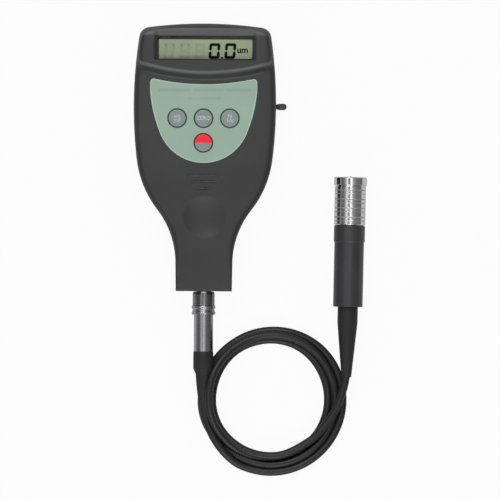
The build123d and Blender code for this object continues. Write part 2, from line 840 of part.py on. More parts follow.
with BuildPart() as socket_insert:
    with BuildSketch(neck_end.offset(-socket_depth)):
        Circle(socket_bore_radius - thread_gap)
    extrude(amount=-socket_insert_length)
    with BuildSketch(neck_end.offset(-socket_depth)):
        with pin_places():
            Circle(pin_radius + pin_clearance)
    extrude(amount=-pin_reach - thread_gap, mode=Mode.SUBTRACT)

connector_z = board_z - connector_height / 2
with BuildPart() as board_connector:
    with BuildSketch(Plane.XY.offset(board_z - connector_height)):
        box_at((0, connector_y), (connector_width, connector_length))
    extrude(amount=connector_height)

wire_start_y = insert_back_y
wire_end_y = connector_y - connector_length / 2
with BuildPart() as sensor_wires:
    for wire in range(pin_count):
        angle = radians(180 / pin_count + wire * 360 / pin_count)
        start = Vector(pin_circle_radius * cos(angle), wire_start_y, plug_z + pin_circle_radius * sin(angle))
        end = Vector((wire - (pin_count - 1) / 2) * wire_pitch, wire_end_y, connector_z)
        rank = sorted(range(pin_count), key=lambda n: cos(radians(180 / pin_count + n * 360 / pin_count)))
        end.X = (rank.index(wire) - (pin_count - 1) / 2) * wire_pitch
        span = wire_end_y - wire_start_y
        with BuildLine() as wire_line:
            FilletPolyline(start, start + Vector(0, span / 4, 0), end - Vector(0, span / 4, 0), end,
                           radius=2 * wire_diameter)
        with BuildSketch(Plane(origin=start, z_dir=(0, 1, 0))):
            Circle(wire_diameter / 2)
        sweep(path=wire_line.line)

sleeve_front_y = -half_length - sleeve_stand
sleeve_back_y = sleeve_front_y - sleeve_length
barrel_back_y = sleeve_back_y - barrel_length
plug_nose_y = -half_length + plug_nose_length
with BuildPart() as plug_shell:
    add(turned([
        (plug_bore_radius, plug_nose_y),
        (socket_bore_radius - plug_fit, plug_nose_y),
        (socket_bore_radius - plug_fit, sleeve_front_y),
        (barrel_radius, sleeve_front_y),
        (barrel_radius, barrel_back_y),
        (plug_bore_radius, barrel_back_y),
    ], plug_plane, plug_axis))

with BuildPart() as plug_insert:
    with BuildSketch(neck_end.offset(-plug_nose_length + thread_gap)):
        Circle(plug_bore_radius - thread_gap)
        with pin_places():
            Circle(pin_radius + thread_gap / 2, mode=Mode.SUBTRACT)
    extrude(amount=plug_nose_length)

with BuildPart() as plug_pins:
    with BuildSketch(neck_end.offset(-socket_depth - pin_reach)):
        with pin_places():
            Circle(pin_radius)
    extrude(amount=plug_nose_length + pin_reach)

with BuildPart() as plug_sleeve:
    bore = barrel_radius + sleeve_clearance
    rib_back_front = sleeve_back_y + rib_width
    rib_front_back = rib_back_front + rib_gap
    rib_front_front = rib_front_back + rib_width
    add(turned([
        (bore, sleeve_front_y),
        (sleeve_radius - (sleeve_radius - bore) * 0.9, sleeve_front_y),
        (sleeve_radius, sleeve_front_y - sleeve_chamfer),
        (sleeve_radius, rib_front_front),
        (rib_radius, rib_front_front - rib_width / 4),
        (rib_radius, rib_front_back + rib_width / 4),
        (sleeve_radius, rib_front_back),
        (sleeve_radius, rib_back_front),
        (rib_radius, rib_back_front - rib_width / 4),
        (rib_radius, sleeve_back_y + rib_width / 4),
        (sleeve_radius, sleeve_back_y),
        (bore, sleeve_back_y),
    ], plug_plane, plug_axis))

boot_head_back_y = barrel_back_y - boot_head_length
boot_tail_y = boot_head_back_y - boot_shoulder_length


def boot_point(t):
    """Middle of the boot's tail: it sinks in a smooth step and leaves to the right as a parabola."""
    sink = 3 * t**2 - 2 * t**3
    return Vector(
        boot_tip[0] * t**2,
        boot_tail_y + (boot_tip[1] - boot_tail_y) * t,
        plug_z + (boot_tip[2] - plug_z) * sink,
    )


with BuildPart() as plug_boot:
    with BuildSketch(neck_end.offset(-half_length - barrel_back_y)):
        Circle(boot_head_radius)
    extrude(amount=boot_head_length)
    with BuildSketch(neck_end.offset(-half_length - boot_head_back_y)):
        Circle(boot_head_radius)
    with BuildSketch(neck_end.offset(-half_length - boot_tail_y)):
        Circle(boot_shoulder_radius)
    loft()
    for section in range(boot_sections + 1):
        t = section / boot_sections
        step = 0.01
        ahead = boot_point(min(t + step, 1)) - boot_point(max(t - step, 0))
        if section == 0:
            ahead = Vector(0, -1, 0)
        with BuildSketch(Plane(origin=boot_point(t), z_dir=ahead)):
            Circle(boot_shoulder_radius + (boot_tip_radius - boot_shoulder_radius) * t)
    loft()

# Probe, turned about its own axis with the measuring face towards the display end
lean = radians(probe_lean)
probe_plane = Plane(origin=(probe_tip_x, probe_face_y, probe_z), x_dir=(cos(lean), -sin(lean), 0), z_dir=(0, 0, 1))
probe_axis = Axis((probe_tip_x, probe_face_y, probe_z), (sin(lean), cos(lean), 0))
body_start = -nose_length
body_step = body_start - upper_body_length
body_end = body_step - lower_body_length
edge = 0.3


def groove_steps(middle):
    """Four corners of one turned groove, running away from the face."""
    return [
        (nose_radius, middle + groove_width / 2),
        (nose_radius - groove_depth, middle + groove_width / 4),
        (nose_radius - groove_depth, middle - groove_width / 4),
        (nose_radius, middle - groove_width / 2),
    ]


nose_profile = [
    (nose_bore_radius, 0),
    (collar_radius - edge, 0),
    (collar_radius, -edge),
    (collar_radius, -collar_length),
]
nose_profile += groove_steps(-first_groove)[1:]
for pair in range(groove_pairs):
    pair_y = -first_pair - pair * groove_pair_pitch
    nose_profile += groove_steps(pair_y) + groove_steps(pair_y - groove_spacing)
nose_profile += [
    (nose_radius, -nose_length + edge),
    (nose_radius - edge, -nose_length),
    (nose_bore_radius, -nose_length),
]
with BuildPart() as probe_nose:
    add(turned(nose_profile, probe_plane, probe_axis))

spigot_radius = nose_bore_radius - thread_gap
spigot_length = nose_length / 5
boot_hole_radius = probe_boot_radius + thread_gap
boot_seat_length = spigot_length
with BuildPart() as probe_body:
    add(turned([
        (body_bore_radius, body_start + spigot_length),
        (spigot_radius, body_start + spigot_length),
        (spigot_radius, body_start),
        (upper_body_radius - edge, body_start),
        (upper_body_radius, body_start - edge),
        (upper_body_radius, body_step),
        (lower_body_radius, body_step - edge),
        (lower_body_radius, body_end + edge),
        (lower_body_radius - edge, body_end),
        (boot_hole_radius, body_end),
        (boot_hole_radius, body_end + boot_seat_length / 2),
        (body_bore_radius, body_end + boot_seat_length / 2),
    ], probe_plane, probe_axis))

with BuildPart() as probe_boot:
    add(turned([
        (0, body_end + boot_seat_length),
        (probe_boot_radius, body_end + boot_seat_length),
        (probe_boot_radius, body_end - probe_boot_head),
        (probe_boot_tip, body_end - probe_boot_length),
        (0, body_end - probe_boot_length),
    ], probe_plane, probe_axis))

with BuildPart() as tip_guide:
    add(turned([
        (needle_radius + needle_fit, 0),
        (guide_radius, 0),
        (guide_radius, -guide_thickness),
        (needle_radius + needle_fit, -guide_thickness),
    ], probe_plane, probe_axis))

core_front = -guide_thickness - thread_gap
core_floor = core_front - core_length + 2 * coil_wall
window_front = core_front - 2 * coil_wall
with BuildPart() as probe_core:
    add(turned([
        (core_bore_radius, core_front),
        (core_radius, core_front),
        (core_radius, window_front),
        (core_bore_radius + coil_wall, window_front),
        (core_bore_radius + coil_wall, window_front - coil_window),
        (core_radius, window_front - coil_window),
        (core_radius, core_front - core_length),
        (0, core_front - core_length),
        (0, core_floor),
        (core_bore_radius, core_floor),
    ], probe_plane, probe_axis))

with BuildPart() as sensor_coil:
    add(turned([
        (core_bore_radius + coil_wall + thread_gap, window_front - thread_gap),
        (core_radius - thread_gap, window_front - thread_gap),
        (core_radius - thread_gap, window_front - coil_window + thread_gap),
        (core_bore_radius + coil_wall + thread_gap, window_front - coil_window + thread_gap),
    ], probe_plane, probe_axis))

needle_shoulder = needle_proud - needle_radius / tan(radians(30))
armature_front = needle_proud - needle_length
armature_back = armature_front - armature_length
with BuildPart() as probe_tip:
    add(turned([
        (0, needle_proud),
        (needle_radius, needle_shoulder),
        (needle_radius, armature_front),
        (armature_radius, armature_front),
        (armature_radius, armature_back),
        (0, armature_back),
    ], probe_plane, probe_axis))

spring_room = armature_back - core_floor
with BuildPart() as tip_spring:
    spring_foot = probe_plane.from_local_coords((0, core_floor + thread_gap + tip_spring_wire / 2, 0))
    spring_height = spring_room - 2 * thread_gap - tip_spring_wire
    with BuildLine() as spring_line:
        Helix(pitch=spring_height / tip_spring_turns, height=spring_height,
              radius=armature_radius - tip_spring_wire, center=spring_foot,
              direction=(sin(lean), cos(lean), 0))
    with BuildSketch(Plane(origin=spring_line.line @ 0, z_dir=spring_line.line % 0)):
        RegularPolygon(tip_spring_wire / 2, 6)
    sweep(path=spring_line.line)


# Lead
def corner_radii(points):
    """Radius of the arc at each corner of a route: 0.45 of the shorter run over the tangent of half the turn."""
    radii = []
    for before, here, after in zip(points, points[1:], points[2:]):
        run_in = Vector(*here) - Vector(*before)
        run_out = Vector(*after) - Vector(*here)
        turn = radians(run_in.get_angle(run_out))
        radii.append(0.45 * min(run_in.length, run_out.length) / tan(turn / 2))
    return radii


def make_cord(points):
    """Round tube along straight runs joined by tangent arcs."""
    radii = corner_radii(points)
    with BuildPart() as cord:
        with BuildLine() as route:
            FilletPolyline(*points, radius=radii)
        with BuildSketch(Plane(origin=route.line @ 0, z_dir=route.line % 0)):
            Circle(cord_diameter / 2)
        sweep(path=route.line)
    length = route.wire().length
    expected = pi * cord_diameter**2 / 4 * length
    print("arc radii", [round(r, 1) for r in radii], "length", round(length, 1),
          "volume ratio", round(cord.part.volume / expected, 4))
    return cord


lead_plug_end = make_cord(plug_end_route)
lead_probe_end = make_cord(probe_end_route)

with BuildPart() as lead_coil:
    with BuildSketch():
        with Locations(coil_outer_centre):
            Circle(coil_outer_radius)
        with Locations(coil_inner_centre):
            Circle(coil_inner_radius, mode=Mode.SUBTRACT)
    extrude(amount=cord_diameter)
    with BuildSketch(Plane.XY.offset(cord_diameter)):
        with Locations(coil_inner_centre):
            Circle(coil_inner_radius + coil_upper_width)
            Circle(coil_inner_radius, mode=Mode.SUBTRACT)
        with BuildLine():
            gap_reach = 2 * coil_outer_radius
            gap_edges = [
                (coil_inner_centre[0] + gap_reach * cos(radians(a)),
                 coil_inner_centre[1] + gap_reach * sin(radians(a)))
                for a in (coil_gap_start, (coil_gap_start + coil_gap_end) / 2, coil_gap_end)
            ]
            Polyline(coil_inner_centre, *gap_edges, close=True)
        make_face(mode=Mode.SUBTRACT)
    extrude(amount=coil_upper_height - cord_diameter)

nodes = {
    "rear_shell": rear_shell, "front_shell": front_shell, "battery_cover": battery_cover,
    "batteries": batteries, "battery_contacts": battery_contacts, "main_board": main_board,
    "processor_chip": processor_chip, "small_components": small_components, "buzzer": buzzer,
    "key_switches": key_switches, "contact_strips": contact_strips, "lcd_frame": lcd_frame,
    "lcd_panel": lcd_panel, "display_window": display_window, "faceplate": faceplate,
    "case_screws": case_screws, "board_screws": board_screws, "data_jack": data_jack,
    "jack_cover": jack_cover, "sensor_socket": sensor_socket, "socket_nut": socket_nut,
    "socket_insert": socket_insert, "board_connector": board_connector, "sensor_wires": sensor_wires,
    "plug_shell": plug_shell, "plug_insert": plug_insert, "plug_pins": plug_pins,
    "plug_sleeve": plug_sleeve, "plug_boot": plug_boot, "probe_nose": probe_nose,
    "probe_body": probe_body, "probe_boot": probe_boot, "tip_guide": tip_guide,
    "probe_core": probe_core, "sensor_coil": sensor_coil, "probe_tip": probe_tip,
    "tip_spring": tip_spring, "lead_plug_end": lead_plug_end, "lead_probe_end": lead_probe_end,
    "lead_coil": lead_coil,
}
nodes.update(keys)
for name, node in nodes.items():
    node.part.label = name
    export_step(node.part, f"parts/{name}.step")
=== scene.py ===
from math import atan2, cos, pi, radians, sin, sqrt, tan

import bmesh
import bpy
import numpy as np
from bpy.props import FloatProperty, FloatVectorProperty, IntProperty, PointerProperty
from bpy.types import Operator, Panel, PropertyGroup
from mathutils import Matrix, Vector


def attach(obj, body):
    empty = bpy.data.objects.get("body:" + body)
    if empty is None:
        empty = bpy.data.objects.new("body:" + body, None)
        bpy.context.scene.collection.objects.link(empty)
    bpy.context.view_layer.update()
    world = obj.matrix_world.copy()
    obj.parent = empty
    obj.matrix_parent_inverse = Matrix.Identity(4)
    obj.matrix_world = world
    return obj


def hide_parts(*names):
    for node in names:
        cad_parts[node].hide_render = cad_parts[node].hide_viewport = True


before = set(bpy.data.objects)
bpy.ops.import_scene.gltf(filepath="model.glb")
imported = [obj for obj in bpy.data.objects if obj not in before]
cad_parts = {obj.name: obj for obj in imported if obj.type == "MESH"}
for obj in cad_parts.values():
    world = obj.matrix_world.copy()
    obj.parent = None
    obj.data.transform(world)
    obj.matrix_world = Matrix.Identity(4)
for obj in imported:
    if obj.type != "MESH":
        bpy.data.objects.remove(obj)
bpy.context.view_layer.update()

bl_info = {
    "name": "Surface Profile Gauge",
    "version": (1, 0, 0),
    "blender": (4, 5, 0),
    "location": "View3D > Sidebar > Gauge",
    "description": "Dresses a hand-held surface profile gauge, its coiled lead and its probe",
    "category": "Object",
}

# One millimetre in metres, and the distance in metres within which points are joined
MM = 0.001
JOIN_WITHIN = 2e-6

# The photograph: the pixel over the origin, millimetres for one pixel, and the gauge's small lean in the picture
PHOTO_MIDDLE = (204.6, 157.55)
PHOTO_SCALE = 0.46
PHOTO_LEAN = 0.00675
CAMERA_TURN = radians(0.387)

# Plan of the case in millimetres: marks (x, y) down its right side, between which arcs run
HALF_LENGTH = 61.5
HALF_HEAD = 32.7
HALF_NECK = 12.9
CORNER = (29.7, 59.2)
WIDEST = (32.7, 22.0)
SHOULDER = (31.2, -1.0)
WAIST = (21.7, -24.0)
NECK_START = (13.1, -49.0)
HEAD_CORNER_RADIUS = 5.0
NECK_CORNER_RADIUS = 0.9

# Heights of the display's pod, of the deck with the keys, of the neck's end and of the seam between the shells
POD_Z = 27.0
DECK_Z = 23.0
NECK_Z = 17.5
SEAM_Z = 9.0

# The crest is an arc about an axis beyond the head, and the slope below it has a run. The deck bends down at its end.
CREST_AXIS_Y = 140.0
CREST_RADIUS = 101.0
CREST_RUN = 3.2
CREST_ROUND = 0.8
DECK_END_Y = -6.0
DECK_ROUND = 3.0
POD_INSET = 1.2
POD_CORNER = 4.5

# The face sinks a little towards its edge. The rim keeps a share of its radius at the neck's end, and grows to the
# whole of it along (start, run), counted upwards.
EDGE_SINK = 0.7
EDGE_RUN = 7.5
END_SHARE = 0.33
RIM_FADE = (-53.0, 17.0)

# Room round each key in the face
KEY_ROOM = 0.55

# Display opening as half its width and its lower and upper edge, and the bevel round it
WINDOW = (21.65, 45.3, 55.7)
BEVEL_WIDTH = 1.9
BEVEL_TOP = 3.9
BEVEL_DEPTH = 1.2
STEEP = 3.2
GLASS_Z = 24.85

# Foot of the front shell's wall: its small chamfer as (in, up) and its flat
SEAM_CHAMFER = (0.22, 0.25)
SEAM_FLAT = 1.0

# The socket's hole in the neck's end, how deep the end reaches, and how near points move onto the hole's edge
SOCKET_HOLE = 6.0
END_DEPTH = 1.1
HOLE_REACH = 0.25

# Rows of the face's grid, as runs of (from, to, count) along the case. Its columns are straight over the head, with
# its half width here, and turn into shares of the case's width along (start, run), counted upwards.
FACE_ROWS = ((55.7, 45.3, 12), (45.3, 33.6, 52), (33.6, -6.6, 42), (-6.6, -15.6, 66), (-15.6, -39, 34), (-39, -49, 9))
HEAD_STEPS = 11
HEAD_SIDE = 29.9
STILL_FROM = (16.0, 22.0)
NECK_STEPS = 15
WALL_STEPS = 24

# Outline of the film, whose top edge keeps clear of the foot of the crest's slope
PLATE_X = -0.6
FILM_TIP = -2.5
FILM_TURN = (20.2, 11.8)
FILM_SIDE = (24.6, 30.5)
FILM_CORNER = 1.6
FILM_MARGIN = 1.0
FOOT_ROUND = 2.5
FILM_TOP = CREST_RADIUS + CREST_RUN + FOOT_ROUND * tan(pi / 7) + FILM_MARGIN

# Keys, with their places and words, and the print
KEYS = {
    "key_left": (-12.7, 18.0),
    "key_middle": (-0.6, 18.0),
    "key_right": (11.5, 18.0),
    "key_power": (-0.6, 6.7),
}
LEGENDS = {"key_left": ("um", "mil"), "key_middle": ("ZERO",), "key_right": ("N", "1/n"), "key_power": ()}
KEY_RADIUS = 4.25
KEY_TOP = 23.55
# Outer radius of the ring of painted shade round each key
KEY_RING = 4.33
# Heights of the printed layers and of the painted shade round the keys, each a little over the one under it
GAP_Z, LIP_Z, EDGE_Z, RING_Z, PRINT_Z = (DECK_Z + rise for rise in (0.012, 0.053, 0.055, 0.056, 0.06))
IDLE_Z, INK_Z, SHADE_Z = 23.84, 23.86, 23.87
# Printed bars as (first column, last column, row) in the photograph
RULES = ((158.0, 190.6, 90.3), (193.4, 223.6, 90.3), (226.4, 250.6, 90.3), (188.0, 221.0, 98.4))
RULE_HALF = 0.72

# Thumb dimple and grip grooves, each groove as its place along the case and its length
DIMPLE_Y = -27.4
DIMPLE_RADIUS = 10.0
DIMPLE_DEPTH = 1.5
GRIPS = ((-8.2, 16.0), (-11.2, 12.0), (-14.2, 8.0))
GRIP_HALF = 0.5
GRIP_ENDS = 0.9
GRIP_DEPTH = 0.45

# Plug, jack, coil and probe. The probe's face is the middle of its measuring end.
PLUG_Z = 9.0
BOOT_TAIL_Y = -99.55
BOOT_END_Y = -121.2
JACK_Y = 23.5
JACK_Z = 12.45
COIL_MIDDLE = (31.2, -111.2)
PROBE_FACE = (67.27, -8.5, 7.6)
PROBE_LEAN = radians(0.875)
GROOVE_PITCH = 4.14


def photo_point(column, row):
    """Place on the object, in millimetres, of a point in the 500 by 500 photograph, seen straight down."""
    across, down = column - PHOTO_MIDDLE[0], row - PHOTO_MIDDLE[1]
    return PHOTO_SCALE * (across + PHOTO_LEAN * down), PHOTO_SCALE * (PHOTO_LEAN * across - down)


# ---- meshes


def linked(name, data):
    """New object at the origin with the given data, in the scene."""
    made = bpy.data.objects.new(name, data)
    bpy.context.scene.collection.objects.link(made)
    return made


def rework(mesh, step):
    """Runs one step on the mesh's editable copy and writes it back."""
    work = bmesh.new()
    work.from_mesh(mesh)
    step(work)
    work.to_mesh(mesh)
    work.free()


def shade_smooth(mesh, crease):
    """Smooth shading with sharp edges where two faces meet at more than the crease, in degrees."""
    mesh.polygons.foreach_set("use_smooth", np.ones(len(mesh.polygons), bool))
    mesh.set_sharp_from_angle(angle=radians(crease))


def give_material(mesh, material):
    """Leaves the mesh with the one material."""
    mesh.materials.clear()
    mesh.materials.append(material)


def join_points(work):
    """Joins points that lie at one place."""
    bmesh.ops.remove_doubles(work, verts=work.verts, dist=JOIN_WITHIN)


def grid_faces(rows, columns, closed, start):
    """Quads between neighbouring rows and columns of a grid of points; closed joins the last column to the first."""
    last = columns if closed else columns - 1
    i, j = np.meshgrid(np.arange(rows - 1), np.arange(last), indexing="ij")
    k = (j + 1) % columns
    quads = np.stack([i * columns + j, i * columns + k, (i + 1) * columns + k, (i + 1) * columns + j], -1)
    return quads.reshape(-1, 4) + start


def make_piece(name, patches, materials, crease=35.0, turn_out=False):
    """Mesh object from patches, each a dict with points (rows, columns, 3) in millimetres, and optionally
    closed, material, keep (one value for each quad) and flip."""
    points, faces, slots, start = [], [], [], 0
    for patch in patches:
        p = np.asarray(patch["points"], float)
        rows, columns = p.shape[:2]
        quads = grid_faces(rows, columns, patch.get("closed", False), start)
        if patch.get("keep") is not None:
            quads = quads[np.asarray(patch["keep"]).reshape(-1)]
        if patch.get("flip"):
            quads = quads[:, ::-1]
        points.append(p.reshape(-1, 3) * MM)
        faces.append(quads)
        slots.append(np.full(len(quads), patch.get("material", 0)))
        start += rows * columns
    mesh = bpy.data.meshes.new(name)
    mesh.from_pydata(np.concatenate(points).tolist(), [], np.concatenate(faces).tolist())
    mesh.polygons.foreach_set("material_index", np.concatenate(slots).astype(np.int32))
    for material in materials:
        mesh.materials.append(material)

    def clean(work):
        """Joins points, drops loose ones and turns the faces outwards."""
        join_points(work)
        loose = [v for v in work.verts if not v.link_faces]
        bmesh.ops.delete(work, geom=loose, context="VERTS")
        if turn_out:
            bmesh.ops.recalc_face_normals(work, faces=work.faces)

    rework(mesh, clean)
    shade_smooth(mesh, crease)
    return linked(name, mesh)


def soften(profile, radius, steps=5):
    """Profile whose inner corners become curves: B(t) = (1-t)^2 a + 2 t (1-t) corner + t^2 b, with a and b the
    points one radius before and after the corner, or 0.45 of the shorter run."""
    p = np.asarray(profile, float)
    before, corner, after = p[:-2], p[1:-1], p[2:]
    run_in, run_out = before - corner, after - corner
    length_in = np.linalg.norm(run_in, axis=1, keepdims=True)
    length_out = np.linalg.norm(run_out, axis=1, keepdims=True)
    reach = np.minimum(radius, 0.45 * np.minimum(length_in, length_out))
    a = corner + run_in / length_in * reach
    b = corner + run_out / length_out * reach
    t = np.linspace(0, 1, steps)[None, :, None]
    curve = (1 - t) ** 2 * a[:, None] + 2 * t * (1 - t) * corner[:, None] + t**2 * b[:, None]
    return np.concatenate([p[:1], curve.reshape(-1, 2), p[-1:]])


def lathe(profile, origin, along, columns=96):
    """Turned surface: each (radius, length) goes to origin + length * axis + radius * (cos a * side + sin a * up)."""
    axis = np.asarray(along, float)
    axis = axis / np.linalg.norm(axis)
    up = np.array([0.0, 0.0, 1.0]) if abs(axis[2]) < 0.9 else np.array([0.0, 1.0, 0.0])
    side = np.cross(axis, up)
    side = side / np.linalg.norm(side)
    up = np.cross(side, axis)
    p = np.asarray(profile, float)
    a = np.linspace(0, 2 * pi, columns, endpoint=False)
    ring = np.cos(a)[:, None] * side + np.sin(a)[:, None] * up
    return np.asarray(origin) + p[:, None, 1:] * axis + p[:, :1, None] * ring[None]


# ---- outline of the case


def tangent_centre(start, tangent, end):
    """Centre of the circle that leaves start along tangent and passes through end."""
    s, e = np.asarray(start, float), np.asarray(end, float)
    t = np.asarray(tangent, float) / np.linalg.norm(tangent)
    n = np.array([-t[1], t[0]])
    chord = e - s
    return s + n * (chord @ chord) / (2 * (chord @ n))


def three_point_centre(a, b, c):
    """Centre of the circle through three points, where their perpendicular bisectors meet."""
    a, b, c = (np.asarray(p, float) for p in (a, b, c))
    m = np.array([b - a, c - a])
    return np.linalg.solve(m, np.array([(b @ b - a @ a) / 2, (c @ c - a @ a) / 2]))


def arc(centre, start, end, count):
    """Points along the short arc from start to end, each centre + radius * (cos a, sin a), and the unit rings."""
    c = np.asarray(centre)
    a0 = atan2(start[1] - c[1], start[0] - c[0])
    a1 = atan2(end[1] - c[1], end[0] - c[0])
    a1 = a0 + (a1 - a0 + pi) % (2 * pi) - pi
    a = np.linspace(a0, a1, count)
    radius = np.hypot(start[0] - c[0], start[1] - c[1])
    ring = np.stack([np.cos(a), np.sin(a)], 1)
    return c + radius * ring, ring


def right_side():
    """Dense points and outward normals of the right half of the plan, from the middle of the head to the neck's
    straight: five arcs, each tangent to the next. Also the index at the middle of the head's corner."""
    crown_c = tangent_centre((0, HALF_LENGTH), (1, 0), CORNER)
    side_c = three_point_centre(CORNER, WIDEST, SHOULDER)
    crown_r = HALF_LENGTH - crown_c[1]
    side_r = np.hypot(*(np.asarray(SHOULDER) - side_c))
    # the corner's centre lies one corner radius inside both arcs
    ra, rb = crown_r - HEAD_CORNER_RADIUS, side_r - HEAD_CORNER_RADIUS
    between = side_c - crown_c
    gap = np.hypot(*between)
    along = (ra**2 - rb**2 + gap**2) / (2 * gap)
    high = sqrt(ra**2 - along**2)
    e = between / gap
    foot = crown_c + e * along
    options = [foot + high * np.array([-e[1], e[0]]), foot - high * np.array([-e[1], e[0]])]
    corner_c = max(options, key=lambda p: p[0] + p[1])
    touch_crown = crown_c + (corner_c - crown_c) / ra * crown_r
    touch_side = side_c + (corner_c - side_c) / rb * side_r
    tangent = np.array([-(SHOULDER[1] - side_c[1]), SHOULDER[0] - side_c[0]])
    hip_c = tangent_centre(SHOULDER, tangent, WAIST)
    tangent = np.array([-(WAIST[1] - hip_c[1]), WAIST[0] - hip_c[0]])
    waist_c = tangent_centre(WAIST, tangent, NECK_START)
    runs = [
        arc(crown_c, (0, HALF_LENGTH), touch_crown, 400),
        arc(corner_c, touch_crown, touch_side, 200),
        arc(side_c, touch_side, SHOULDER, 600),
        arc(hip_c, SHOULDER, WAIST, 400),
        arc(waist_c, WAIST, NECK_START, 400),
    ]
    points, normals = (np.concatenate(both) for both in zip(*runs))
    # the points run clockwise, so the outside is on their left
    step = np.gradient(points, axis=0)
    left = np.stack([-step[:, 1], step[:, 0]], 1)
    normals *= np.sign(np.sum(normals * left, 1))[:, None]
    return points, normals, 500


SIDE_POINTS, SIDE_NORMALS, MID_CORNER = right_side()


def outline_distance(x, y):
    """Distance of each place from the nearest point of the plan's outline."""
    place = np.stack([np.abs(x).ravel(), np.ravel(y)], 1)
    found = []
    for some in np.array_split(place, 1 + len(place) // 500):
        gap = some[:, None] - SIDE_POINTS[None, ::3]
        found.append(np.sqrt((gap**2).sum(-1).min(1)))
    return np.concatenate(found).reshape(np.shape(x))


def side_height(x, y):
    """Height of the case's face. The deck depends on the distance from the crest's axis: level up to a bend, and
    falling evenly past it. The pod stands on it up to the crest and to a line just inside the outline, with a round
    corner between the two, and falls to the deck over a short run. The bend, the crest and the foot are round
    because each height is the mean of some heights close by."""
    reach = np.hypot(x, CREST_AXIS_Y - y)
    fall = (DECK_Z - NECK_Z) / (DECK_END_Y + HALF_LENGTH)
    bend = CREST_AXIS_Y - DECK_END_Y
    steps = np.linspace(-DECK_ROUND, DECK_ROUND, 7)
    deck = sum(DECK_Z - fall * np.maximum(reach + step - bend, 0) for step in steps) / len(steps)
    past = reach - CREST_RADIUS + POD_CORNER
    aside = POD_INSET - outline_distance(x, y) + POD_CORNER
    outside = np.where((past > 0) & (aside > 0), np.hypot(past, aside), np.maximum(past, aside)) - POD_CORNER
    steps = np.linspace(-CREST_ROUND, CREST_ROUND, 11)
    rise = sum(np.interp(outside + step, [0, CREST_RUN], [POD_Z - DECK_Z, 0]) for step in steps) / len(steps)
    return deck + rise


def face_height(x, y):
    """The face. Near its edge it sinks by sink * (1 - d / run)^2, with d the distance from the outline. The dimple
    takes depth * (1 - r^2)^1.05 from it, with r the share of the dimple's radius, and each grip groove takes
    depth * (1 - u^2)^0.7, with u the share of its half width."""
    z = side_height(x, y) - EDGE_SINK * np.clip(1 - outline_distance(x, y) / EDGE_RUN, 0, 1) ** 2
    r = np.hypot(x, y - DIMPLE_Y) / DIMPLE_RADIUS
    z = z - DIMPLE_DEPTH * np.clip(1 - r**2, 0, 1) ** 1.05
    for middle, length in GRIPS:
        out = np.hypot(np.maximum(np.abs(x) - (length - GRIP_ENDS) / 2, 0), y - middle) / GRIP_HALF
        z = z - GRIP_DEPTH * np.clip(1 - out**2, 0, 1) ** 0.7
    return z


def bevel_height(x, y):
    """Slope round the display window: it rises from the opening's edge outwards at a constant rate, STEEP times as
    fast along the lower side and over a longer run along the upper side."""
    half, low, high = WINDOW
    out = np.maximum(np.abs(x) - half, np.maximum((low - y) * STEEP, (y - high) * BEVEL_WIDTH / BEVEL_TOP))
    return POD_Z - BEVEL_DEPTH + BEVEL_DEPTH / BEVEL_WIDTH * np.maximum(out, 0)


def rim_share(y):
    """Share of the rim's radius at each place along the case: end + (1 - end) * (3 t^2 - 2 t^3), with t from 0
    at the neck's end to 1 towards the head."""
    start, run = RIM_FADE
    t = np.clip((y - start) / run, 0, 1)
    return END_SHARE + (1 - END_SHARE) * (3 * t**2 - 2 * t**3)


def case_rows():
    """Heights up the side, from the head to the neck, at which the face has a row of points."""
    return np.unique(np.round(np.concatenate([np.linspace(*run) for run in FACE_ROWS]), 4))[::-1]


def case_columns():
    """Places across the display, even over the window and closer over its bevel, and then shares out to the rim."""
    half = WINDOW[0]
    fixed = np.concatenate([np.linspace(0, half, 31), np.linspace(half, half + BEVEL_WIDTH, 6)[1:]])
    return fixed, np.linspace(0, 1, 9)[1:]


def open_socket(walls):
    """Round hole for the socket in the neck's end: the walls with the points near its edge moved onto it, and which
    of their quads are outside it."""
    radius = np.hypot(walls[..., 0], walls[..., 2] - PLUG_Z)
    near = (walls[..., 1] < -HALF_LENGTH + END_DEPTH) & (np.abs(radius - SOCKET_HOLE) < HOLE_REACH)
    pull = np.where(near, SOCKET_HOLE / np.maximum(radius, 0.1), 1.0)
    walls[..., 0] *= pull
    walls[..., 2] = PLUG_Z + (walls[..., 2] - PLUG_Z) * pull
    after = np.roll(walls, -1, axis=1)
    middle = (walls[:-1] + walls[1:] + after[:-1] + after[1:]) / 4
    at_end = middle[..., 1] < -HALF_LENGTH + END_DEPTH
    return walls, ~((np.hypot(middle[..., 0], middle[..., 2] - PLUG_Z) < SOCKET_HOLE) & at_end)


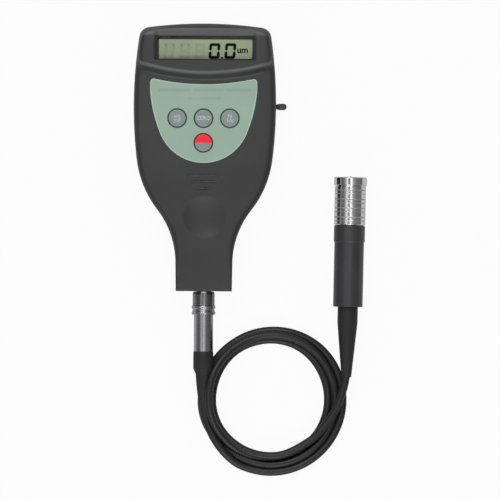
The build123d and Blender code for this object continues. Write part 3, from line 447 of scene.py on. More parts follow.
def case_front_patches(rim):
    """Top face, rim and walls of the front shell. The face is a grid of rows between points of the outline
    drawn in by the rim's radius; each rim ring is the outline drawn in by d on a quarter circle."""
    inset = SIDE_POINTS - SIDE_NORMALS * rim * rim_share(SIDE_POINTS[:, 1:])
    index = np.arange(len(inset), dtype=float)
    side_index = np.interp(-case_rows(), -inset[MID_CORNER:, 1], index[MID_CORNER:])
    head_index = np.linspace(MID_CORNER, side_index[0], HEAD_STEPS)[:-1]
    side_index = np.concatenate([head_index, side_index])
    down_neck = np.linspace(0, 1, NECK_STEPS + 1)[1:]

    def along(values):
        """Points and unit normals of the outline at fractional indices."""
        q, n = (np.stack([np.interp(values, index, table[:, k]) for k in (0, 1)], 1)
                for table in (SIDE_POINTS, SIDE_NORMALS))
        return q, n / np.linalg.norm(n, axis=1, keepdims=True)

    def side_ring(d):
        """Right side drawn in by d, and straight on to the start of the corner at the neck's end."""
        q, n = along(side_index)
        curve = q - n * d * rim_share(q[:, 1:])
        last_x, last_y = curve[-1]
        foot = -HALF_LENGTH + max(d * END_SHARE, NECK_CORNER_RADIUS)
        y = last_y + (foot - last_y) * down_neck
        x = last_x + (HALF_NECK - d * END_SHARE - last_x) * down_neck
        return np.concatenate([curve, np.stack([x, y], 1)])

    # over the window the columns stand still, and down the case they turn into shares of the width
    edge = side_ring(rim)
    x_side, y_side = edge[:, :1], edge[:, 1:]
    fixed, outer = case_columns()
    still = np.concatenate([np.repeat(fixed[None], len(edge), 0), fixed[-1] + (x_side - fixed[-1]) * outer], 1)
    share = np.concatenate([fixed, fixed[-1] + (HEAD_SIDE - fixed[-1]) * outer])[None] / HEAD_SIDE
    start, run = STILL_FROM
    blend = np.clip((y_side - start) / run, 0, 1)
    blend = blend**2 * (3 - 2 * blend)
    x = still * blend + share * x_side * (1 - blend)
    # the head's rows bend from its crown to straight
    crown_index = np.interp(x[0], inset[:MID_CORNER + 1, 0], index[:MID_CORNER + 1])
    crown = np.interp(crown_index, index, inset[:, 1])
    crown[-1] = edge[0, 1]
    bend = np.clip(1 - np.arange(len(edge)) / (HEAD_STEPS - 1), 0, 1)[:, None]
    y = np.repeat(y_side, x.shape[1], 1) + bend * (crown[None] - crown[-1])
    x = np.concatenate([-x[:, :0:-1], x], 1)
    y = np.concatenate([y[:, :0:-1], y], 1)
    face = np.stack([x, y, np.minimum(face_height(x, y), bevel_height(x, y))], -1)
    # the window and the keys' holes stay open
    cx = (x[1:, 1:] + x[:-1, :-1]) / 2
    cy = (y[1:, 1:] + y[:-1, :-1]) / 2
    half, low, high = WINDOW
    keep = ~((np.abs(cx) < half) & (cy > low) & (cy < high))
    for kx, ky in KEYS.values():
        keep &= np.hypot(cx - kx, cy - ky) > KEY_RADIUS + KEY_ROOM

    # the loop round the face: head, right side, corner, neck end, corner, left side
    head_q, head_n = along(crown_index)
    quarter = np.linspace(0, pi / 2, 7)
    neck_row = x[-1, ::-1] / x[-1, -1]

    def ring(d):
        """The whole outline drawn in by d, and by a smaller share of d at the neck's end."""
        head = head_q - head_n * d
        head = np.concatenate([head[:0:-1] * [-1, 1], head])
        side = side_ring(d)
        away = max(d * END_SHARE, NECK_CORNER_RADIUS)
        centre = np.array([HALF_NECK - away, -HALF_LENGTH + away])
        reach = max(NECK_CORNER_RADIUS - d * END_SHARE, 0)
        corner = centre + reach * np.stack([np.cos(quarter), -np.sin(quarter)], 1)
        foot = np.stack([neck_row * centre[0], np.full(len(neck_row), -HALF_LENGTH + d * END_SHARE)], 1)
        left_corner = corner[::-1] * [-1, 1]
        return np.concatenate([head, side[1:], corner[1:-1], foot, left_corner[1:-1], side[:0:-1] * [-1, 1]])

    rings = []
    for a in np.linspace(0, pi / 2, 10):
        p = ring(rim * (1 - sin(a)))
        top = face_height(p[:, 0], p[:, 1]) - rim * rim_share(p[:, 1]) * (1 - cos(a))
        rings.append(np.concatenate([p, np.minimum(top, bevel_height(*p.T))[:, None]], 1))
    wall_top = rings[-1]
    chamfer_in, chamfer_up = SEAM_CHAMFER
    for share_down in np.linspace(0, 1, WALL_STEPS + 1)[1:]:
        p = wall_top.copy()
        p[:, 2] = wall_top[:, 2] + (SEAM_Z + chamfer_up - wall_top[:, 2]) * share_down
        rings.append(p)
    for d in (chamfer_in, SEAM_FLAT):
        p = ring(d)
        rings.append(np.concatenate([p, np.full((len(p), 1), SEAM_Z)], 1))
    walls, solid = open_socket(np.stack(rings))
    # inner edge of the window, down to the clear panel
    corners = np.array([[-half, high], [half, high], [half, low], [-half, low]])
    frame_walls = [np.concatenate([corners, np.full((4, 1), z)], 1) for z in (POD_Z - BEVEL_DEPTH, GLASS_Z)]
    return [
        {"points": face, "keep": keep, "flip": True},
        {"points": walls, "closed": True, "keep": solid},
        {"points": np.stack(frame_walls), "closed": True, "flip": True},
    ]


# ---- materials


def new_material(name):
    """Material with an empty node tree, its output and its Principled shader."""
    material = bpy.data.materials.new(name)
    material.use_nodes = True
    tree = material.node_tree
    tree.nodes.clear()
    output = tree.nodes.new("ShaderNodeOutputMaterial")
    shader = tree.nodes.new("ShaderNodeBsdfPrincipled")
    tree.links.new(shader.outputs[0], output.inputs[0])
    return material, tree, shader


def colour_mix(tree, factor, a, b):
    """Socket with the mix of two colours."""
    mix = tree.nodes.new("ShaderNodeMix")
    mix.data_type = "RGBA"
    tree.links.new(factor, mix.inputs[0])
    for socket, value in ((mix.inputs[6], a), (mix.inputs[7], b)):
        if isinstance(value, tuple):
            socket.default_value = (*value, 1)
        else:
            tree.links.new(value, socket)
    return mix.outputs[2]


def noise(tree, scale, detail=3.0, rough=0.5, stretch=(1, 1, 1)):
    """Noise over the object's own coordinates, stretched by the three factors."""
    place = tree.nodes.new("ShaderNodeTexCoord")
    mapping = tree.nodes.new("ShaderNodeMapping")
    mapping.inputs["Scale"].default_value = stretch
    field = tree.nodes.new("ShaderNodeTexNoise")
    field.inputs["Scale"].default_value = scale
    field.inputs["Detail"].default_value = detail
    field.inputs["Roughness"].default_value = rough
    tree.links.new(place.outputs["Object"], mapping.inputs[0])
    tree.links.new(mapping.outputs[0], field.inputs["Vector"])
    return field.outputs[0]


def joined(tree, operation, a, b, clamped=False):
    """Socket with two values joined by one operation, such as their product, their total or the larger of them."""
    node = tree.nodes.new("ShaderNodeMath")
    node.operation = operation
    node.use_clamp = clamped
    tree.links.new(a, node.inputs[0])
    tree.links.new(b, node.inputs[1])
    return node.outputs[0]


def spread(tree, value, low, high, to_low, to_high):
    """Value mapped from one range to another and held inside it."""
    node = tree.nodes.new("ShaderNodeMapRange")
    for socket, number in zip(node.inputs[1:5], (low, high, to_low, to_high)):
        socket.default_value = number
    tree.links.new(value, node.inputs[0])
    return node.outputs[0]


def bump(tree, shader, height, strength, distance):
    """Bump from a height field, with the distance in metres."""
    node = tree.nodes.new("ShaderNodeBump")
    node.inputs["Strength"].default_value = strength
    node.inputs["Distance"].default_value = distance
    tree.links.new(height, node.inputs["Height"])
    tree.links.new(node.outputs[0], shader.inputs["Normal"])


def grained(name, colour, roughness=0.55, grain=2600.0, depth=0.00004, variety=0.12, specular=0.5):
    """Moulded plastic or rubber: a fine grain in the bump, a slow change of tone and of gloss."""
    material, tree, shader = new_material(name)
    fine = noise(tree, grain, 2.0)
    slow = noise(tree, 60.0, 3.0)
    dark = tuple(c * (1 - variety) for c in colour)
    light = tuple(min(c * (1 + variety), 1) for c in colour)
    tree.links.new(colour_mix(tree, spread(tree, slow, 0.3, 0.7, 0, 1), dark, light), shader.inputs["Base Color"])
    tree.links.new(spread(tree, slow, 0.3, 0.7, roughness - 0.05, roughness + 0.05), shader.inputs["Roughness"])
    shader.inputs["Specular IOR Level"].default_value = specular
    bump(tree, shader, fine, 0.6, depth)
    return material


def metal(name, colour, roughness, stretch=(40, 1, 1), lines=900.0, depth=0.000006, tint=0.1):
    """Turned or drawn metal: fine lines stretched along one way, with tone and gloss that follow them."""
    material, tree, shader = new_material(name)
    shader.inputs["Metallic"].default_value = 1.0
    field = noise(tree, lines, 4.0, 0.6, stretch)
    dark = tuple(c * (1 - tint) for c in colour)
    tree.links.new(colour_mix(tree, spread(tree, field, 0.35, 0.65, 0, 1), dark, colour), shader.inputs["Base Color"])
    tree.links.new(spread(tree, field, 0.3, 0.7, roughness * 0.8, roughness * 1.25), shader.inputs["Roughness"])
    bump(tree, shader, field, 0.4, depth)
    return material


def clear(name, colour, roughness=0.03):
    """Clear window: full transmission with a faint haze from fine noise."""
    material, tree, shader = new_material(name)
    shader.inputs["Transmission Weight"].default_value = 1.0
    shader.inputs["IOR"].default_value = 1.05
    shader.inputs["Base Color"].default_value = (*colour, 1)
    haze = noise(tree, 500.0, 2.0)
    tree.links.new(spread(tree, haze, 0.3, 0.7, roughness * 0.5, roughness * 1.5), shader.inputs["Roughness"])
    return material


def linear(*rgb):
    """Linear colour of a 0 to 255 display colour."""
    c = np.array(rgb) / 255
    return tuple(float(v) for v in np.where(c <= 0.04045, c / 12.92, ((c + 0.055) / 1.055) ** 2.4))


def case_plastic(name):
    """Grained case plastic, with a painted highlight: pale along the crest, which is a band of the distance from the
    crest's axis, and on the slope above the window, standing in for the light that these slopes catch."""
    material = grained(name, linear(49, 49, 50), 0.43, 2000.0, 0.00006, 0.08, 0.4)
    tree = material.node_tree
    shader = next(n for n in tree.nodes if n.type == "BSDF_PRINCIPLED")
    plain = shader.inputs["Base Color"].links[0].from_socket
    place = tree.nodes.new("ShaderNodeTexCoord")
    flat = tree.nodes.new("ShaderNodeMapping")
    flat.inputs["Scale"].default_value = (1, 1, 0)
    tree.links.new(place.outputs["Object"], flat.inputs[0])
    reach = tree.nodes.new("ShaderNodeVectorMath")
    reach.operation = "DISTANCE"
    reach.inputs[1].default_value = (0, CREST_AXIS_Y * MM, 0)
    tree.links.new(flat.outputs[0], reach.inputs[0])
    split = tree.nodes.new("ShaderNodeSeparateXYZ")
    tree.links.new(place.outputs["Object"], split.inputs[0])
    radius, along, up = reach.outputs["Value"], split.outputs[1], split.outputs[2]

    def band(*ramps):
        """Product of ramps, each a value with its two ends and its two levels."""
        total = None
        for value, *ends in ramps:
            ramp = spread(tree, value, *ends)
            total = ramp if total is None else joined(tree, "MULTIPLY", total, ramp)
        return total

    # Masks of the painted highlight: a band along the crest and the slope above the window
    edge, high = CREST_RADIUS * MM, WINDOW[2] * MM
    crest = band((radius, edge - 0.0011, edge - 0.0004, 0, 1), (radius, edge + 0.0004, edge + 0.0013, 1, 0),
                 (up, 0.0235, 0.0247, 0, 1))
    above = band((along, high + 0.0001, high + 0.0006, 0, 0.72), (along, 0.0592, 0.0598, 1, 0),
                 (up, 0.0267, 0.02695, 1, 0), (up, 0.0245, 0.0255, 0, 1))
    uneven = spread(tree, noise(tree, 90.0, 3.0), 0.3, 0.7, 0.75, 1.0)
    painted_highlight = joined(tree, "MULTIPLY", joined(tree, "MAXIMUM", crest, above), uneven)
    # the painted highlight mixes the plain plastic towards this pale grey
    tree.links.new(colour_mix(tree, painted_highlight, plain, linear(94, 93, 95)), shader.inputs["Base Color"])
    return material


def board_finish(name):
    """Green board: solder mask over copper tracks that run both ways, as two sets of soft bands."""
    material, tree, shader = new_material(name)
    tracks = joined(tree, "MAXIMUM", *(noise(tree, 500.0, 1.0, 0.4, way) for way in ((1, 0.08, 1), (0.08, 1, 1))))
    mask, copper = (0.01, 0.09, 0.03), (0.03, 0.17, 0.06)
    tree.links.new(colour_mix(tree, spread(tree, tracks, 0.56, 0.6, 0, 1), mask, copper), shader.inputs["Base Color"])
    shader.inputs["Roughness"].default_value = 0.3
    bump(tree, shader, tracks, 0.3, 0.00003)
    return material


def cell_finish(name):
    """Printed cell jacket: a black length and a copper-coloured length with a thin pale line between them."""
    material, tree, shader = new_material(name)
    place = tree.nodes.new("ShaderNodeTexCoord")
    split = tree.nodes.new("ShaderNodeSeparateXYZ")
    tree.links.new(place.outputs["Object"], split.inputs[0])
    along = split.outputs[1]
    jacket = colour_mix(tree, spread(tree, along, 0.0378, 0.0381, 0, 1), (0.02, 0.02, 0.022), (0.75, 0.73, 0.68))
    jacket = colour_mix(tree, spread(tree, along, 0.0385, 0.0388, 0, 1), jacket, (0.45, 0.2, 0.07))
    tree.links.new(jacket, shader.inputs["Base Color"])
    scuff = noise(tree, 900.0, 3.0)
    tree.links.new(spread(tree, scuff, 0.3, 0.7, 0.22, 0.4), shader.inputs["Roughness"])
    shader.inputs["Metallic"].default_value = 0.3
    return material


BLACK = (0.016, 0.016, 0.017)

# Every finish by its name: the function that makes it and that function's values in their order
FINISHES = {
    "case_plastic": (case_plastic,),
    "boot_rubber": (grained, linear(40, 40, 41), 0.6, 2600.0, 0.00003, 0.05, 0.25),
    "cord_rubber": (grained, linear(33, 33, 34), 0.42, 1800.0, 0.00003, 0.05, 0.35),
    "jack_rubber": (grained, linear(52, 52, 54), 0.5, 3200.0, 0.00003, 0.08),
    "probe_black": (grained, linear(50, 50, 52), 0.4, 3000.0, 0.00001, 0.04),
    "probe_steel": (metal, (0.7, 0.7, 0.71), 0.08, (1, 12, 1), 500.0, 0.0000003),
    # steel of the groove floors: matt, and darker as painted shade
    "groove_steel": (metal, (0.5, 0.5, 0.51), 0.55, (1, 12, 1), 500.0, 0.000001),
    "plug_chrome": (metal, (0.39, 0.39, 0.4), 0.23, (1, 0.05, 1), 900.0, 0.000001),
    "sleeve_chrome": (metal, (0.235, 0.235, 0.24), 0.22, (1, 0.05, 1), 900.0, 0.000001),
    "film_edge": (grained, linear(176, 198, 184), 0.4, 5200.0, 0.00001, 0.03),
    "film_print": (grained, linear(143, 165, 154), 0.5, 5200.0, 0.00001, 0.08),
    # darker green of the film: painted shade round the keys
    "ring_green": (grained, linear(92, 108, 98), 0.5, 5200.0, 0.00001, 0.05),
    "key_print": (grained, linear(176, 188, 184), 0.5, 4200.0, 0.00001, 0.04),
    "window_clear": (clear, (0.97, 0.98, 0.96)),
    "lcd_green": (grained, linear(153, 163, 135), 0.35, 6000.0, 0.000004, 0.04),
    "display_ink": (grained, (0.004, 0.005, 0.004), 0.6, 5000.0, 0.000004, 0.1, 0.1),
    "display_ghost": (grained, linear(148, 157, 131), 0.4, 5000.0, 0.000004, 0.03),
    "display_shade": (grained, linear(40, 43, 34), 0.5, 4000.0, 0.00001, 0.08),
    "cell_wrap": (cell_finish,),
    "nickel": (metal, (0.6, 0.58, 0.53), 0.25),
    "board_laminate": (board_finish,),
    "component_black": (grained, BLACK, 0.45, 3000.0, 0.00002, 0.1),
    "switch_steel": (metal, (0.55, 0.55, 0.56), 0.3),
    "strip_rubber": (grained, linear(225, 205, 190), 0.6, 3000.0, 0.00001, 0.05),
    "screw_steel": (metal, (0.36, 0.35, 0.34), 0.32, (1, 1, 20)),
    "socket_chrome": (metal, (0.5, 0.5, 0.51), 0.22, (1, 8, 1), 500.0, 0.000001),
    "insert_black": (grained, BLACK, 0.4, 4000.0, 0.00001, 0.1),
    "wire_sheath": (grained, linear(185, 60, 52), 0.4, 3000.0, 0.00001, 0.05),
    "pin_gold": (metal, (0.83, 0.62, 0.27), 0.2),
    "core_iron": (metal, (0.35, 0.35, 0.35), 0.4),
    "coil_copper": (metal, (0.7, 0.32, 0.17), 0.3, (1, 60, 1), 400.0, 0.00003),
    "tip_steel": (metal, (0.7, 0.7, 0.7), 0.15),
}
MADE = {}


def finish_of(name):
    """The material of that name, made when it is first asked for."""
    if name not in MADE:
        maker, *values = FINISHES[name]
        MADE[name] = maker(name, *values)
    return MADE[name]


def dress(node, material):
    """Gives a CAD node one material."""
    give_material(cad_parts[node].data, material)


def smooth_copy(node, name, body, slot, crease=28.0):
    """The node's own surface with its points joined, so that its rounded edges shade as curves. Its finish has the
    name of its slot."""
    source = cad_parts[node]
    mesh = source.data.copy()
    mesh.name = name
    mesh.transform(source.matrix_world)
    rework(mesh, join_points)
    shade_smooth(mesh, crease)
    give_material(mesh, finish_of(slot))
    made = linked(name, mesh)
    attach(made, body)
    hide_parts(node)
    return made


def ribbon(outline, inner, outer, level, flip=False):
    """Flat closed strip between two offsets of a closed outline; the offset runs along the outline's own normals."""
    p = np.asarray(outline, float)
    ahead = np.roll(p, -1, 0) - np.roll(p, 1, 0)
    n = np.stack([ahead[:, 1], -ahead[:, 0]], 1)
    n /= np.linalg.norm(n, axis=1, keepdims=True)
    rows = [np.concatenate([p + n * d, np.full((len(p), 1), level)], 1) for d in (inner, outer)]
    return {"points": np.stack(rows), "closed": True, "flip": flip}


def film_outline():
    """Closed outline of the printed film: two arcs on each side from the tip, short straight sides, round upper
    corners and a hollow top edge about the crest's axis. Runs to the right from the tip, so its outside is on
    the right of the way it runs."""
    tip = (0, FILM_TIP)
    low_c = tangent_centre(tip, (1, 0), FILM_TURN)
    flank_c = tangent_centre(FILM_TURN, (-(FILM_TURN[1] - low_c[1]), FILM_TURN[0] - low_c[0]), FILM_SIDE)
    cx = FILM_SIDE[0] - FILM_CORNER
    cy = CREST_AXIS_Y - sqrt((FILM_TOP + FILM_CORNER) ** 2 - cx**2)
    a = np.linspace(0, atan2(CREST_AXIS_Y - cy, -cx), 14)
    corner = np.stack([cx + FILM_CORNER * np.cos(a), cy + FILM_CORNER * np.sin(a)], 1)
    b = np.linspace(atan2(corner[-1, 1] - CREST_AXIS_Y, corner[-1, 0]), -pi / 2, 40)
    hollow = np.stack([FILM_TOP * np.cos(b), CREST_AXIS_Y + FILM_TOP * np.sin(b)], 1)
    low, flank = arc(low_c, tip, FILM_TURN, 60)[0], arc(flank_c, FILM_TURN, FILM_SIDE, 40)[0]
    right = np.concatenate([low, flank[1:], corner, hollow[1:]])
    return np.concatenate([right, right[-2:0:-1] * [-1, 1]]) + [PLATE_X, 0]


def lettering(name, words, size, weight, place, level, material):
    """Flat printed word with its middle at the given place in millimetres, as a mesh."""
    text = bpy.data.curves.new(name, "FONT")
    text.body = words
    text.size = size * MM
    text.offset = weight * MM
    text.align_x = "CENTER"
    text.align_y = "CENTER"
    text.resolution_u = 3
    drawn = linked(name + "_curve", text)
    bpy.context.view_layer.update()
    mesh = bpy.data.meshes.new_from_object(drawn.evaluated_get(bpy.context.evaluated_depsgraph_get()))
    bpy.data.objects.remove(drawn)
    points = np.empty(len(mesh.vertices) * 3)
    mesh.vertices.foreach_get("co", points)
    points = points.reshape(-1, 3) + np.array([*place, level]) * MM
    mesh.vertices.foreach_set("co", points.ravel())
    mesh.update()
    give_material(mesh, material)
    return linked(name, mesh)


# ---- tables


# The camera's sensor and the bench's half width and height in millimetres, and what the lamps aim at in metres
SENSOR = 36.0
BENCH, BENCH_Z = 2500.0, -0.05
LAMP_AIM = (0.02, -0.03, 0)

# Light of the sky on what is dull, and the studio's strips for what shines, as angle from overhead and level. The
# levels are two fifths of the true ones, because a ramp stops at one, and the gain makes up for it.
SKY_LIGHT = 0.45
STRIP_GAIN = 2.5
SKY_STRIPS = (
    (-90, 0.04), (-84, 0.04), (-79, 0.12), (-74, 0.136), (-67, 0.088), (-59, 0.048), (-51, 0.068), (-43, 0.112),
    (-36, 0.17), (-29, 0.33), (-22, 0.5), (-17, 0.27), (-12, 0.15), (-7, 0.13), (-3, 0.22), (1, 0.4), (4, 0.64),
    (9, 0.64), (13, 0.4), (17, 0.24), (20, 0.18), (27, 0.145), (35, 0.112), (42, 0.092), (50, 0.08), (65, 0.076),
    (74, 0.067), (90, 0.06),
)

# Marks along the coil: angle round it in degrees, radius and height
COIL_MARKS = (
    (246, 33.3, 1.8), (270, 33.45, 1.8), (300, 33.3, 1.8), (345, 33.15, 1.8), (390, 33.15, 1.8), (405, 33.0, 1.8),
    (420, 32.6, 1.8), (450, 31.8, 1.8), (480, 31.2, 1.8), (495, 31.1, 1.8), (525, 31.6, 1.8), (540, 32.0, 1.8),
    (552, 32.2, 1.8), (562, 31.9, 1.8), (575, 31.1, 1.8), (590, 30.2, 1.8), (602, 29.9, 2.0), (630, 30.0, 2.5),
    (660, 29.9, 2.6), (720, 29.65, 2.6), (750, 29.7, 3.2), (780, 30.0, 4.3), (810, 29.7, 4.8), (825, 29.5, 5.0),
    (848, 29.3, 7.0), (868, 29.1, 10.4), (884, 28.8, 12.1), (896, 28.6, 11.8), (912, 28.4, 9.7), (930, 28.2, 6.8),
    (945, 28.0, 5.0), (965, 27.3, 3.2), (988, 26.6, 1.8), (1020, 26.45, 1.8), (1080, 26.2, 1.8), (1110, 26.5, 1.8),
    (1125, 27.0, 1.8), (1140, 27.4, 1.8), (1155, 27.6, 1.8), (1185, 27.5, 1.8), (1200, 27.7, 1.8), (1215, 27.5, 1.8),
    (1230, 27.1, 1.8), (1245, 26.9, 1.8), (1260, 27.0, 1.8), (1275, 27.0, 2.4), (1290, 26.8, 3.6), (1305, 26.4, 4.8),
    (1320, 26.1, 5.3), (1350, 25.9, 5.3), (1365, 26.0, 5.3), (1380, 26.4, 5.4),
)

# CAD nodes that are shown as they are, by their finish
INSIDE = {
    "cell_wrap": ["batteries"], "nickel": ["battery_contacts"], "board_laminate": ["main_board"],
    "component_black": ["processor_chip", "small_components", "buzzer", "data_jack", "lcd_frame"],
    "switch_steel": ["key_switches"], "strip_rubber": ["contact_strips", "board_connector"],
    "screw_steel": ["case_screws", "board_screws"], "socket_chrome": ["sensor_socket", "socket_nut"],
    "insert_black": ["socket_insert", "plug_insert"], "wire_sheath": ["sensor_wires"], "pin_gold": ["plug_pins"],
    "core_iron": ["probe_core"], "coil_copper": ["sensor_coil"], "tip_steel": ["tip_spring", "probe_tip"],
    "probe_steel": ["tip_guide"],
}


# ---- settings


class GaugeCaseSettings(PropertyGroup):
    """Settings of the case, the film and the keys"""
    rim_radius: FloatProperty(
        name="Rim radius", description="Radius of the rounded rim round the face", default=2.8 * MM,
        min=1.0 * MM, max=4.0 * MM, unit="LENGTH")
    film_colour: FloatVectorProperty(
        name="Film colour", description="Colour of the printed film under the keys", default=linear(151, 176, 159),
        size=3, min=0, max=1, subtype="COLOR")
    key_colour: FloatVectorProperty(
        name="Key colour", description="Colour of the round keys", default=linear(133, 142, 141),
        size=3, min=0, max=1, subtype="COLOR")
    power_colour: FloatVectorProperty(
        name="Power colour", description="Colour of the upper half of the power key", default=linear(248, 20, 40),
        size=3, min=0, max=1, subtype="COLOR")


class GaugeLeadSettings(PropertyGroup):
    """Settings of the lead"""
    diameter: FloatProperty(
        name="Diameter", description="Outer diameter of the lead", default=3.6 * MM, unit="LENGTH")
    points_per_turn: IntProperty(
        name="Points per turn", description="Points of the route in each turn of the coil", default=18, min=12)


class GaugeStageSettings(PropertyGroup):
    """Settings of the camera and the lamps"""
    field: FloatProperty(
        name="Field", description="Width of the view on the bench", default=0.23, unit="LENGTH")
    lens: FloatProperty(name="Lens", description="Focal length of the camera in millimetres", default=1200.0)
    lamp: FloatProperty(name="Lamp", description="Power of the main lamp in watts", default=5.8)


# ---- operators


def turned_piece(name, profile, origin, along, body, node, slot, radius=0.25, columns=96):
    """A lathe piece that rides on a body, stands for its CAD node and has the finish of its slot."""
    rings = lathe(soften(profile, radius), origin, along, columns)
    made = make_piece(name, [{"points": rings, "closed": True}], [finish_of(slot)], turn_out=True)
    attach(made, body)
    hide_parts(node)
    return made


class GAUGE_OT_stage(Operator):
    """Puts up the camera, the bench and the lamps"""
    bl_idname = "gauge.stage"
    bl_label = "Stage"

    def execute(self, context):
        s = context.scene.gauge_stage
        scene = context.scene
        camera = linked("camera", bpy.data.cameras.new("camera"))
        camera.data.lens = s.lens
        camera.data.sensor_width = SENSOR
        centre_x, centre_y = photo_point(250, 250)
        camera.location = (centre_x * MM, centre_y * MM, s.field * s.lens / SENSOR + 0.012)
        camera.rotation_euler = (0, 0, CAMERA_TURN)
        camera.data.clip_end = 60.0
        scene.camera = camera

        corners = [[[-BENCH, y, BENCH_Z], [BENCH, y, BENCH_Z]] for y in (BENCH, -BENCH)]
        floor = make_piece("bench", [{"points": corners, "flip": True}], [self.bench()])
        world = bpy.data.worlds.new("studio")
        scene.world = world
        world.use_nodes = True
        self.sky(world.node_tree)
        self.lamp("main_lamp", (-0.15, 0.66, 1.1), (0.6, 0.4), s.lamp)
        self.lamp("low_lamp", (0.02, -1.0, 0.75), (0.9, 0.25), s.lamp * 0.87)
        scene.view_settings.view_transform = "Standard"
        return {"FINISHED"}

    @staticmethod
    def lamp(name, place, size, power):
        """Oblong lamp that looks at the middle of the gauge and its lead."""
        data = bpy.data.lights.new(name, "AREA")
        data.shape = "RECTANGLE"
        data.size, data.size_y = size
        data.energy = power
        made = linked(name, data)
        made.location = place
        made.rotation_mode = "QUATERNION"
        made.rotation_quaternion = (Vector(LAMP_AIM) - Vector(place)).to_track_quat("-Z", "Y")

    @staticmethod
    def sky(tree):
        """White for the camera and plain grey for the light on the object. What shines sees a studio of long strips
        side by side: the ramp runs round the length of the bench, from the left through overhead to the right."""
        back = tree.nodes["Background"]
        place = tree.nodes.new("ShaderNodeTexCoord")
        split = tree.nodes.new("ShaderNodeSeparateXYZ")
        tree.links.new(place.outputs["Generated"], split.inputs[0])
        turn = joined(tree, "ARCTAN2", split.outputs[0], split.outputs[2])
        ramp = tree.nodes.new("ShaderNodeValToRGB")
        tree.links.new(spread(tree, turn, -pi / 2, pi / 2, 0, 1), ramp.inputs[0])
        while len(ramp.color_ramp.elements) < len(SKY_STRIPS):
            ramp.color_ramp.elements.new(0.5)
        for element, (angle, level) in zip(ramp.color_ramp.elements, SKY_STRIPS):
            element.position = (angle + 90) / 180
            element.color = (level, level, level, 1)
        path = tree.nodes.new("ShaderNodeLightPath").outputs
        glossy = path["Is Glossy Ray"]
        tree.links.new(colour_mix(tree, glossy, (1.0, 1.0, 1.0), ramp.outputs[0]), back.inputs[0])
        plain = joined(tree, "ADD", path["Is Camera Ray"], path["Is Transmission Ray"], True)
        shown = joined(tree, "ADD", plain, glossy, True)
        strength = joined(tree, "MULTIPLY", spread(tree, shown, 0, 1, SKY_LIGHT, 1.0),
                          spread(tree, glossy, 0, 1, 1.0, STRIP_GAIN))
        tree.links.new(strength, back.inputs[1])

    @staticmethod
    def bench():
        """White for the camera, with part of the diffuse light so that the shadow stays."""
        material, tree, shader = new_material("bench_white")
        shader.inputs["Base Color"].default_value = (0.74, 0.74, 0.74, 1)
        shader.inputs["Roughness"].default_value = 0.9
        output = next(n for n in tree.nodes if n.type == "OUTPUT_MATERIAL")
        glow = tree.nodes.new("ShaderNodeEmission")
        glow.inputs[1].default_value = 1.0
        path = tree.nodes.new("ShaderNodeLightPath")
        mix = tree.nodes.new("ShaderNodeMixShader")
        share = spread(tree, path.outputs["Is Camera Ray"], 0, 1, 0.0, 0.94)
        for socket, value in zip(mix.inputs, (share, shader.outputs[0], glow.outputs[0])):
            tree.links.new(value, socket)
        tree.links.new(mix.outputs[0], output.inputs[0])
        return material


class GAUGE_OT_lead(Operator):
    """Lays the lead: out of the plug's boot, round its coil and into the probe's boot"""
    bl_idname = "gauge.lead"
    bl_label = "Lead"

    def execute(self, context):
        s = context.scene.gauge_lead
        route = self.route(s.points_per_turn) * MM
        curve = bpy.data.curves.new("lead_cord", "CURVE")
        curve.dimensions = "3D"
        spline = curve.splines.new("NURBS")
        spline.points.add(len(route) - 1)
        spline.points.foreach_set("co", np.concatenate([route, np.ones((len(route), 1))], 1).ravel())
        spline.order_u = 3
        spline.use_endpoint_u = True
        spline.resolution_u = 5
        curve.bevel_depth = s.diameter / 2
        curve.bevel_resolution = 7
        curve.materials.append(finish_of("cord_rubber"))
        lead = linked("lead_cord", curve)
        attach(lead, "lead")
        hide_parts("lead_plug_end", "lead_coil", "lead_probe_end")
        return {"FINISHED"}

    @staticmethod
    def route(points_per_turn):
        """Middle line of the lead in millimetres: down from the plug's boot, then each point of the coil at its
        middle + radius * (cos a, sin a), with radius and height even between the marks, then up to the probe."""
        start = [(1.65, -121.2, 5.75), (1.95, -122.4, 5.75), (3.3, -125.7, 5.7), (5.2, -129.5, 5.5),
                 (8.3, -134.0, 4.9), (12.0, -138.0, 3.6)]
        end = [(50.3, -129.6, 5.4), (53.2, -126.7, 5.4), (56.4, -122.7, 5.5), (59.8, -118.0, 5.8), (62.5, -112.6, 6.4),
               (64.35, -107.0, 7.1), (65.45, -102.6, 7.5), (65.88, -99.2, 7.6)]
        angles, radii, heights = np.array(COIL_MARKS).T
        step = 360.0 / points_per_turn
        turns = []
        for angle in np.arange(angles[0], angles[-1] + 1, step):
            radius, z = np.interp(angle, angles, radii), np.interp(angle, angles, heights)
            # the spline runs inside its points by this share of the radius
            radius = radius / (1 - 0.5 * sin(radians(step / 2)) ** 2)
            x, y = radius * cos(radians(angle)), radius * sin(radians(angle))
            turns.append((COIL_MIDDLE[0] + x, COIL_MIDDLE[1] + y, z))
        return np.array(start + turns + end)


